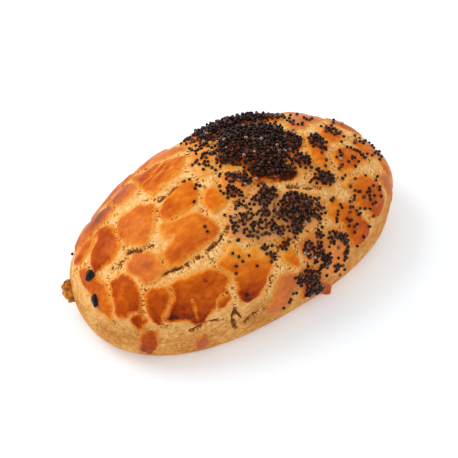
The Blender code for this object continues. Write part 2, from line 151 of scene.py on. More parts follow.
# How the glazed skin cracked. Each plate: how brown it baked from 0 to 1, how much darker its lower side is
# painted as painted shade, how much whitish painted sheen lies on its glaze, then the corners of its outline
# (along, across).
skin = {
    "plates": (
        # the bare end
        (0.68, 0.1, 0.1, ((-43.5, 12.5), (-48.7, 14), (-51.5, 13), (-53, 11.5), (-52, 8.5), (-47, 8.7),
            (-44, 9.2))),
        (0.66, 0.1, 0.0, ((-43.4, 12.2), (-39.6, 9.6), (-38.9, 7), (-39.2, 4.5), (-38.8, 2), (-41.8, 0.4),
            (-44.5, -0.9), (-49, 0), (-50.3, 1.5), (-49.6, 4), (-47.5, 6.5), (-45, 8.4))),
        (0.5, 0.1, 0.1, ((-53.8, 6.6), (-52.3, 5.3), (-51.8, 1), (-51.6, -4.3), (-52.6, -7.5),
            (-54.4, -11), (-57, -12), (-57.6, -7.5), (-56.2, -2.2), (-55.6, 3.2))),
        (0.68, 0.15, 0.0, ((-49.5, -6), (-45.7, -7.5), (-44.9, -10.3), (-45, -12.3), (-46.3, -15.3),
            (-48.6, -18), (-50, -16.8), (-53.1, -15.5), (-54.7, -13.8), (-54.7, -12.6), (-53, -12),
            (-50.8, -8.4))),
        (0.8, 0.1, 0.0, ((-52.5, -17.7), (-49.8, -18.7), (-49.6, -20.7), (-52, -21.5), (-53.5, -20.5))),
        (0.58, 0.2, 0.0, ((-44.4, -16.2), (-43.3, -16.3), (-41.2, -17.4), (-38.6, -19.1), (-39.8, -21.5),
            (-42.8, -22.2), (-46.6, -24.4), (-47.8, -23.5), (-48, -22.5), (-47, -20.3), (-44.9, -17.3))),
        (0.68, 0.35, 0.0, ((-37.1, -19.5), (-35.3, -19.4), (-33, -20.8), (-31.2, -21.1), (-27.3, -22.3),
            (-25.2, -23), (-24.3, -24.5), (-22.5, -27), (-25.3, -28.6), (-26.3, -29.8), (-30, -29.8),
            (-31.2, -30.9), (-35.6, -31.8), (-37.6, -32.2), (-39.7, -31.6), (-40, -29.5), (-41.5, -27.9),
            (-45.8, -24.7), (-42.3, -23.5), (-38.7, -22.4))),
        (0.86, 0.1, 0.1, ((-53.6, -22.2), (-50.8, -25), (-53.9, -26.8), (-57, -27.4), (-61.5, -27.4),
            (-61.5, -24.4), (-57, -23))),
        (0.84, 0.1, 0.7, ((-44, -35.5), (-41, -36.5), (-43, -39.5), (-47, -39.8), (-48, -37.5))),
        (0.42, 0.05, 0.4, ((-43.8, -7.8), (-42.2, -6.2), (-39, -6), (-36.9, -8), (-35.1, -10.5),
            (-35.8, -14.6), (-39.1, -15.3), (-42, -14.1), (-42, -11))),
        (0.42, 0.05, 0.2, ((-28.8, 6.3), (-28.4, 4.7), (-26.9, 3.3), (-27, 1.5), (-28.8, -0.4),
            (-30.9, -2.9), (-33.1, -3.4), (-35.2, -4.8), (-36.8, -3), (-38.8, -0.2), (-39.7, 2.8),
            (-38.5, 5), (-35, 7.3), (-32.3, 6.5))),
        (0.44, 0.1, 0.0, ((-26.8, -3), (-26, 0), (-23.5, 1.2), (-20, 2.4), (-16.5, 3.4), (-14.3, 2.9),
            (-13.7, 0.8), (-14.9, -2), (-16.6, -4), (-19.9, -5.1), (-22.2, -4.7),
            (-25,                           -4.4))),
        (0.47, 0.05, 0.1, ((-25.3, -5.6), (-23.8, -6.1), (-21.4, -7.1), (-19.1, -8.3), (-17.9, -10.8),
            (-17.3, -12.5), (-17.4, -14.6), (-18.8, -15.5), (-22.2, -16.3), (-26.9, -15.9), (-32, -16.1),
            (-34, -15.4), (-34.8, -13.6), (-34.4, -11.9), (-30.6, -10.9), (-28.4, -10), (-27.4, -9.2),
            (-28, -8.5), (-29.8, -7.9), (-29.5, -6), (-28.6, -4.4), (-26.6, -4.2))),
        (0.32, 0.0, 0.0, ((-15.2, -5.8), (-12.7, -3.8), (-10.2, -3.8), (-9.3, -6), (-9.5, -8.5),
            (-11.2, -9.9), (-14.9, -10.3), (-15.4, -8.4))),
        (0.46, 0.0, 0.1, ((-22.6, 19.8), (-18.9, 18.8), (-16.7, 17.8), (-12.9, 16.4), (-10, 14.6),
            (-8.5, 13.2), (-11.5, 10.2), (-15, 8.1), (-19.6, 8), (-21.4, 6.8), (-23.3, 6.7), (-23.6, 8.7),
            (-23.4, 15.3))),
        (0.52, 0.0, 0.6, ((-33.5, 19.5), (-31.5, 20.3), (-26.3, 20.6), (-25, 17.3), (-25.8, 13.8),
            (-28.9, 12.9), (-31.3, 13.3), (-33.1, 14.8))),
        (0.68, 0.0, 0.6, ((-33.6, 16.4), (-36.5, 18.5), (-40, 20.3), (-50, 19), (-50, 15), (-46.5, 12.8),
            (-43, 12.6), (-38, 13), (-34.6, 13.8))),
        (0.66, 0.0, 0.6, ((-25, 22.5), (-32, 22.6), (-40, 23), (-40, 26.5), (-30, 27.5), (-22, 26.5),
            (-20, 24))),
        (0.56, 0.0, 0.5, ((-17.5, 21), (-11, 18.8), (-5, 17.8), (-4, 21), (-9, 25), (-17, 27),
            (-20, 24.5))),
        # the near side below the middle
        (0.6, 0.2, 0.0, ((-29.2, -31), (-27.5, -30.5), (-26, -31.1), (-26.4, -32.2), (-29, -32.6),
            (-30.2, -32))),
        (0.46, 0.5, 0.0, ((-23, -23.6), (-22.2, -22.3), (-19.5, -21.8), (-18, -20.6), (-16.5, -21),
            (-15.4, -24), (-13.8, -24.4), (-9.4, -24.7), (-7.6, -27), (-7.6, -29.4), (-10.5, -31.7),
            (-13.9, -34.9), (-15.6, -35.6), (-17.4, -36.4), (-21.6, -35.9), (-23.1, -34.8),
            (-22.7, -32.1), (-21.2, -29), (-21.8, -26.9))),
        (0.36, 0.1, 0.0, ((-4.8, -28.9), (-3.1, -28.6), (-1.5, -28.6), (-0.2, -31), (0.3, -33.1),
            (0.2, -35.2), (-1.4, -34.7), (-4.1, -31.5))),
        (0.6, 0.1, 0.8, ((-10.1, -37.8), (-8.1, -36.6), (-6.2, -36.5), (-4.2, -37), (-2.8, -38),
            (-0.6, -38.2), (-0.4, -41), (-3.4, -41.6), (-5.4, -43.6), (-7.6, -45.8), (-9.9, -47.2),
            (-12.4, -48), (-16.2, -45.4), (-15, -42.9), (-12.4, -41))),
        (0.4, 0.0, 0.9, ((3, -30.6), (4.6, -30), (6.9, -29.6), (10, -28.6), (11.6, -31), (13.8, -30.6),
            (17.6, -30.6), (22.4, -33), (24, -36), (24.4, -41), (23.4, -44.6), (21, -45.4), (17, -43.6),
            (12.4, -44.2), (11, -41), (9.6, -38.6), (5.6, -37), (3.6, -34.6))),
        (0.7, 0.0, 0.4, ((1.2, -37.6), (5, -38.4), (9, -40.4), (10.4, -44.8), (13.4, -46), (16.5, -47.6),
            (20.8, -49.4), (20.4, -52.4), (14, -51.2), (8, -50.4), (1.6, -48), (0.6, -43))),
        # under and between the seeds
        (0.5, 0.7, 0.0, ((-4.8, 1.2), (-2.9, -0.2), (-0.3, -1.8), (0.2, -4.7), (-0.4, -7.7), (1.4, -9.6),
            (5, -10.6), (8.6, -12.2), (10.6, -12.6), (12.8, -12), (12.4, -9.6), (11.4, -7.8), (14, -6),
            (17, -4.9), (20.5, -3.8), (22.4, -1.2), (21.2, 2), (20.6, 5), (19, 8), (17, 10.2),
            (12.7, 12.4), (9, 13.4), (6, 13.9), (3, 12), (0.4, 10.4), (-0.7, 8), (-2.4, 4.6))),
        (0.5, 0.0, 0.0, ((2.4, 14), (5.6, 15.9), (9, 15.4), (12.7, 14.3), (17.2, 12.3), (22, 10.6),
            (26, 11.4), (28, 14), (24, 18), (18, 21), (12, 23.4), (6, 25), (0, 25), (-3, 22.5),
            (-1.6, 17))),
        (0.2, 0.0, 0.5, ((-4, 13.6), (-1, 12.4), (-0.4, 9.4), (-1.2, 7), (-3, 4.5), (-5, 1.7), (-8, 1.2),
            (-10, 2), (-9.7, 5), (-8.5, 8.5), (-6.3, 11.7))),
        (0.3, 0.0, 0.4, ((-7, -2.4), (-4.5, -2), (-2.2, -3.2), (-0.8, -5.4), (-1, -8.6), (-3.6, -9.4),
            (-5.2, -11), (-8.2, -10.2), (-9, -8.6), (-8.6, -5.4))),
        (0.2, 0.0, 1.6, ((-14.6, -16.4), (-12.4, -13.6), (-8.8, -12), (-5.4, -12.1), (-2.5, -12.2),
            (0.4, -10.4), (2, -10.6), (3.9, -12.6), (3.4, -14.7), (0.6, -16.8), (-1, -18.6),
            (-2.2, -20.6), (-0.2, -24.8), (-1, -26), (-3.2, -25), (-6, -24.6), (-9, -22.4),
            (-12.4, -20.4), (-14.4, -18.6))),
        (0.28, 0.1, 1.2, ((4.2, -16.2), (7.8, -15.8), (10, -17), (12.4, -18.8), (15, -20.4), (15.8, -23),
            (14.6, -25.6), (11, -26.6), (7.8, -26.2), (4.6, -27), (1.6, -27.8), (0.8, -25.6),
            (1.6, -22.6), (-0.4, -20.8), (1.4, -18))),
        (0.5, 0.0, 0.0, ((-4.2, -27.4), (-1, -26.6), (0, -27.8), (-2.4, -29.2), (-4.2, -28.8))),
        (0.3, 0.1, 0.4, ((12.9, -7), (15, -6), (18.2, -6.6), (19.6, -9), (18.4, -12.2), (15.5, -11.6),
            (13.4, -9.6))),
        (0.3, 0.0, 0.5, ((15.3, -15.7), (17.7, -13.9), (19.2, -12.9), (20.8, -15), (23, -15.4),
            (22.7, -17.2), (20.8, -18.7), (18.1, -17.4))),
        (0.4, 0.0, 0.0, ((24.2, -1.4), (26.4, -1), (28.7, -1.1), (29, -3), (29.3, -5.2), (27.4, -7.5),
            (24.9, -9.2), (24.1, -11.8), (23.1, -14), (21.6, -14.4), (20.8, -12.6), (20.8, -9.9),
            (22.1, -7), (23.1, -4.5))),
        # the seeded end
        (0.42, 0.0, 0.7, ((24.4, 6.6), (27, 9), (32, 12.6), (37.5, 11.8), (40.5, 9.6), (36.4, 6.6),
            (31.4, 6.2), (27.6, 3.4), (24, 4.4))),
        (0.38, 0.0, 0.0, ((30.2, -2.1), (32, 0.5), (34.6, 2.1), (38.1, 3), (40.4, 1.4), (40.3, -1.3),
            (37.2, -4.4), (34.3, -4.6), (31.3, -5))),
        (0.45, 0.1, 0.0, ((30, -9.2), (32.4, -8.6), (35.1, -8.8), (38, -10.2), (39.7, -11.6),
            (39.8, -13.4), (35.2, -14.2), (32.5, -15.2), (27.9, -16.4), (26.2, -16.3), (26.4, -14.8),
            (27.7, -12.4), (28.8, -10.4))),
        (0.54, 0.1, 0.1, ((40.2, -5.6), (42, -4.8), (45, -4.6), (48, -5), (49, -6.8), (48, -9.5),
            (46, -11.6), (43, -12.2), (41.2, -10.8), (39.8, -8.6))),
        (0.45, 0.3, 0.0, ((27.2, -18.4), (31.5, -18.5), (36.8, -19), (39, -20), (40.9, -21.4),
            (42.5, -23.5), (42.7, -25.6), (41.3, -27.8), (39, -29.3), (35.4, -29.4), (33.2, -28),
            (28.5, -26), (27.9, -24.9), (28.6, -23.5), (28.4, -22), (25.4, -19.6))),
        (0.48, 0.3, 0.0, ((17.5, -24.4), (18.5, -23), (20.7, -22.9), (23, -24.4), (25.1, -24.7),
            (26.8, -26.4), (27.6, -28.1), (29.3, -29.8), (33, -32), (33.5, -34), (31.8, -36), (27, -36.6),
            (24, -35), (22.6, -32), (21, -29.3), (18.6, -28), (17, -26.4))),
        (0.66, 0.0, 0.9, ((43, -19), (44.5, -18.4), (47.5, -18), (50, -19.8), (52, -22.5), (51, -24.5),
            (48, -23.8), (46, -22.4))),
    ),
    # thin cracks inside a plate (points, half width), and dark spots (along, across, radius, how much darker)
    "scores": (
        (((-35.4, -25.6), (-36.4, -28), (-37.9, -30.4)), 0.14),
        (((-14, 11.5), (-19, 13.4), (-22.4, 13.4)), 0.12),
    ),
    "scoreSlope": 1.6,
    "spots": (
        (-21.2, -33.6, 0.8, 0.35),
        (-29.2, -23.9, 0.8, 0.25),
        (-47.3, -11.4, 1.6, 0.12),
        (-41.5, -21.2, 1.6, 0.1),
        (-31.5, -13.6, 2.4, 0.12),
        (-26, -12, 2.2, 0.1),
        (-38.6, -11, 2.0, 0.1),
        (2.2, -9.2, 1.6, 0.45),
        (5.2, -10.4, 1.6, 0.45),
        (8.4, -11.8, 1.6, 0.45),
        (11.4, -12, 1.6, 0.45),
    ),
    "wobbles": ((0.3, 3.2, 11), (0.22, 1.1, 13)),  # how far an outline strays, how far apart, and the draw
    "outlineReach": 7.0,
    "outlineGap": 0.25,
    "outlineMargin": 0.7,
    # the skin that doesn't show in the photograph cracked alike, with plates drawn at random
    "drawnTried": 900,
    "drawnHalfSize": (4.5, 7.0),
    "drawnStretch": (1.0, 1.45),
    "drawnTurn": 35,
    "drawnSpacingShare": 0.85,
    "drawnReach": 0.95,
    "drawnBeyond": (14, 0.12, 42),  # across, its slope towards the ends, and along
    "drawnBrown": (0.42, 0.62),
    # how much painted sheen lies on the drawn plates' glaze
    "drawnPaintedSheen": 0.4,
    "drawnWobble": (0.9, 5.0, 17),
    "drawSeed": 7,
    "crackWidth": 1.7,
    "crackVaries": (0.2, 9.0, 15),
    "plateMargin": 0.6,
    "plateRise": 0.5,
    "plateEdge": 0.3,
    "plateBow": 0.3,
    "plateBowReach": 5.0,
    "sunk": 0.3,
    "swells": ((0.5, 19.0, 31), (0.2, 9.0, 32)),
    "reliefEnds": 1.75,
    "reliefFadesFrom": 1.05,
    "heapRise": 0.5,
    "heapFrom": 0.6,
    "flap": (19.0, -50.8, 1.8, 1.6),  # along, across, spread, and how far it stands out
    # splits: points on the map, half width, depth
    "splits": (
        (((-46.7, -3), (-43.8, -4), (-41.5, -3.6)), 0.4, 1.2),
        (((-40.3, -3.1), (-37.6, -5.4)), 0.65, 2.2),
        (((-36.4, -6), (-34.2, -7.6)), 0.55, 2.0),
        (((-38, -15.6), (-34, -16.6), (-30, -18)), 0.5, 1.5),
        (((-28.5, -18.2), (-25.5, -18.4)), 0.4, 1.2),
        (((-24, -18), (-18, -17.5), (-14.5, -16.2)), 0.55, 1.5),
        (((-24, 3.2), (-18.5, 3.8), (-14.5, 4.2)), 0.5, 1.2),
        (((-43, -31.7), (-40, -32.6), (-37.7, -33.1)), 0.5, 1.6),
        (((-37.6, -33.2), (-34.6, -34.3), (-32.1, -35.7)), 0.45, 1.5),
        (((-26.5, -35.8), (-26.8, -37.8), (-26.9, -39.6)), 0.5, 1.3),
        (((-27.2, -36.4), (-28.2, -37.2), (-29.4, -38.6), (-30.5, -40.5), (-31, -41.6)), 0.8, 2.4),
        (((-14, -38), (-12, -36), (-10.5, -34)), 0.45, 1.1),
        (((8, -13.8), (12, -16), (17.5, -18.6)), 0.5, 1.2),
        (((-26.6, -42.4), (-23.4, -41.8), (-19.4, -42.6)), 0.75, 2.0),
    ),
    "splitWave": (0.5, 1.9, 21),
    "splitRagged": (0.42, 1.2, 22),
    "splitSlope": 1.6,
    "splitZone": 1.2,  # how far from a split the crumb is torn, with painted shade between its strands, and darker
    # the crumb that shows in the cracks and on the sides
    "fibreSize": 0.42,
    "fibreReach": 1.6,
    "fibreRise": 0.1,
    "fibreSeed": 51,
    "grains": ((1.0, 1.1, 52), (0.6, 0.6, 53)),  # share, how far apart, and the draw
    "grainRise": 0.03,
    "glazeWaves": (0.05, 2.7, 57),
    "wrinkleFrom": (-12, 9),  # along and across, beyond which the skin lies in fine folds
    "wrinkleSize": (7.0, 1.3),
    "wrinkleTurn": -24,
    "wrinkleFadesOver": 4,
    "wrinkleStray": (0.7, 4.0, 62),
    "wrinkleSeed": 63,
    "wrinkleRise": 0.12,
    "crossingStep": 0.6,  # how far to both sides the crossing of a crack is felt for
}


def wavesOver(x, y, waves):
    # waves: how far they stray, how far apart they are, and the draw
    return waves[0] * latticeNoise(x, y, waves[1], waves[2])


def toSegment(x, y, start, end):
    # millimetres to the nearest place on a straight run
    (ax, ay), (bx, by) = start, end
    dx, dy = bx - ax, by - ay
    along = np.clip(((x - ax) * dx + (y - ay) * dy) / (dx * dx + dy * dy), 0, 1)
    return np.hypot(x - ax - along * dx, y - ay - along * dy)


def awayFrom(x, y, points):
    # millimetres to the nearest place on an open line
    return np.min([toSegment(x, y, *run) for run in zip(points, points[1:])], axis=0)


def lobeDepth(x, y, lobe):
    # millimetres inside an oval, given by along, across, half length, half width and turn in degrees
    cx, cy, halfLength, halfWidth, turn = lobe
    c, s = math.cos(math.radians(turn)), math.sin(math.radians(turn))
    along = ((x - cx) * c + (y - cy) * s) / halfLength
    across = ((y - cy) * c - (x - cx) * s) / halfWidth
    return (1 - np.hypot(along, across)) * math.sqrt(halfLength * halfWidth)


def outlineDepth(x, y, corners):
    # millimetres inside a closed outline, and negative outside it
    inside = np.zeros(np.shape(x), bool)
    for (ax, ay), (bx, by) in zip(corners, corners[1:] + corners[:1]):
        if by != ay:
            inside ^= ((ay > y) != (by > y)) & (x < ax + (y - ay) * (bx - ax) / (by - ay))
    nearest = awayFrom(x, y, corners + corners[:1])
    return np.where(inside, nearest, -nearest)


def depthNear(x, y, corners, reach):
    # the outline's depth where it is near, and minus the reach elsewhere
    middle = np.mean(corners, axis=0)
    size = np.max(np.hypot(*(np.array(corners) - middle).T))
    depth = np.full(np.shape(x), -reach)
    near = np.hypot(x - middle[0], y - middle[1]) < size + reach
    depth[near] = np.maximum(outlineDepth(x[near], y[near], corners), -reach)
    return depth, (np.hypot(x, y) - np.hypot(*middle)) / size


def drawnPlates():
    draw = np.random.default_rng(skin["drawSeed"])
    beyondAcross, slope, beyondAlong = skin["drawnBeyond"]
    kept = []
    for _ in range(skin["drawnTried"]):
        azimuth = draw.uniform(-math.pi, math.pi)
        way = skin["drawnReach"] * math.sqrt(draw.uniform())
        size = draw.uniform(*skin["drawnHalfSize"])
        stretch = draw.uniform(*skin["drawnStretch"])
        turn = draw.uniform(-skin["drawnTurn"], skin["drawnTurn"])
        x, y = mapPlace(np.array([azimuth]), np.array([way]))
        if not (y[0] > beyondAcross + slope * abs(x[0]) or x[0] > beyondAlong):
            continue
        clear = skin["drawnSpacingShare"] * size
        near = [depthNear(x, y, plate[3], 2 * clear)[0][0] > -clear for plate in skin["plates"]]
        if not any(near) and all(lobeDepth(x[0], y[0], lobe) < -clear for lobe in kept):
            halfLength, halfWidth = size * math.sqrt(stretch), size / math.sqrt(stretch)
            kept.append((float(x[0]), float(y[0]), halfLength, halfWidth, turn))
    return kept


drawn = drawnPlates()
drawnBrown = np.random.default_rng(skin["drawSeed"] + 5).uniform(*skin["drawnBrown"], len(drawn))
print("plates:", len(skin["plates"]), "read from the photograph and", len(drawn), "drawn")


def plateField(x, y):
    # millimetres inside the nearest plate's edge, half the way between the two nearest plates,
    # how brown the nearest one is there with the painted shade of its lower side, and how much painted sheen
    # it has
    wx = x + sum(wavesOver(x, y, (far, size, seed)) for far, size, seed in skin["wobbles"])
    wy = y + sum(wavesOver(x, y, (far, size, seed + 1)) for far, size, seed in skin["wobbles"])
    reach = skin["outlineReach"]
    best = np.full(np.shape(x), -reach)
    second = best.copy()
    brownAndShade, paintedSheen, gap = np.zeros((3, *np.shape(x)))

    def compete(depth, plateBrown, platePaintedSheen, halfGap):
        nonlocal best, second, brownAndShade, paintedSheen, gap
        wins = depth > best
        brownAndShade, paintedSheen = np.where(wins, plateBrown, brownAndShade), np.where(wins, platePaintedSheen, paintedSheen)
        gap = np.where(wins, halfGap, gap)
        second = np.maximum(second, np.minimum(best, depth))
        best = np.maximum(best, depth)

    for plateBrown, lower, platePaintedSheen, corners in skin["plates"]:
        depth, outwards = depthNear(wx, wy, corners, reach)
        # the plate's lower side is painted darker: painted shade
        shade = plateBrown + lower * np.clip(outwards, -0.6, 1)
        compete(depth + skin["outlineMargin"], shade, platePaintedSheen, skin["outlineGap"])
    drawnGap = skin["crackWidth"] * (0.5 + wavesOver(x, y, skin["crackVaries"]))
    far, size, seed = skin["drawnWobble"]
    strayX = wx + wavesOver(x, y, (far, size, seed))
    strayY = wy + wavesOver(x, y, (far, size, seed + 1))
    for lobe, lobeBrown in zip(drawn, drawnBrown):
        depth = lobeDepth(strayX, strayY, lobe) + skin["plateMargin"]
        compete(depth, lobeBrown, skin["drawnPaintedSheen"], drawnGap)
    halfway = (best - second) / 2
    edge = np.minimum(best, halfway - gap)
    for points, halfWidth in skin["scores"]:
        edge = np.minimum(edge, skin["scoreSlope"] * (awayFrom(x, y, points) - halfWidth))
    for sx, sy, radius, darker in skin["spots"]:
        brownAndShade = brownAndShade + darker * ease(1.2 - np.hypot(wx - sx, wy - sy) / radius)
    return edge, halfway, brownAndShade, paintedSheen


def splitDepth(x, y):
    depth = np.zeros(np.shape(x))
    wavy = y + wavesOver(x, y, skin["splitWave"])
    share, size, seed = skin["splitRagged"]
    ragged = np.clip(1 - share + share * 1.6 * latticeNoise(x, y, size, seed), 0, 1)
    for points, halfWidth, deepest in skin["splits"]:
        away = awayFrom(x, wavy, points)
        depth = np.maximum(depth, deepest * ragged * ease(1 - away / (halfWidth * skin["splitSlope"])))
    return depth


def nearSplit(x, y):
    wavy = y + wavesOver(x, y, skin["splitWave"])
    nearest = np.min([awayFrom(x, wavy, points) for points, _, _ in skin["splits"]], axis=0)
    return ease(1 - nearest / skin["splitZone"])


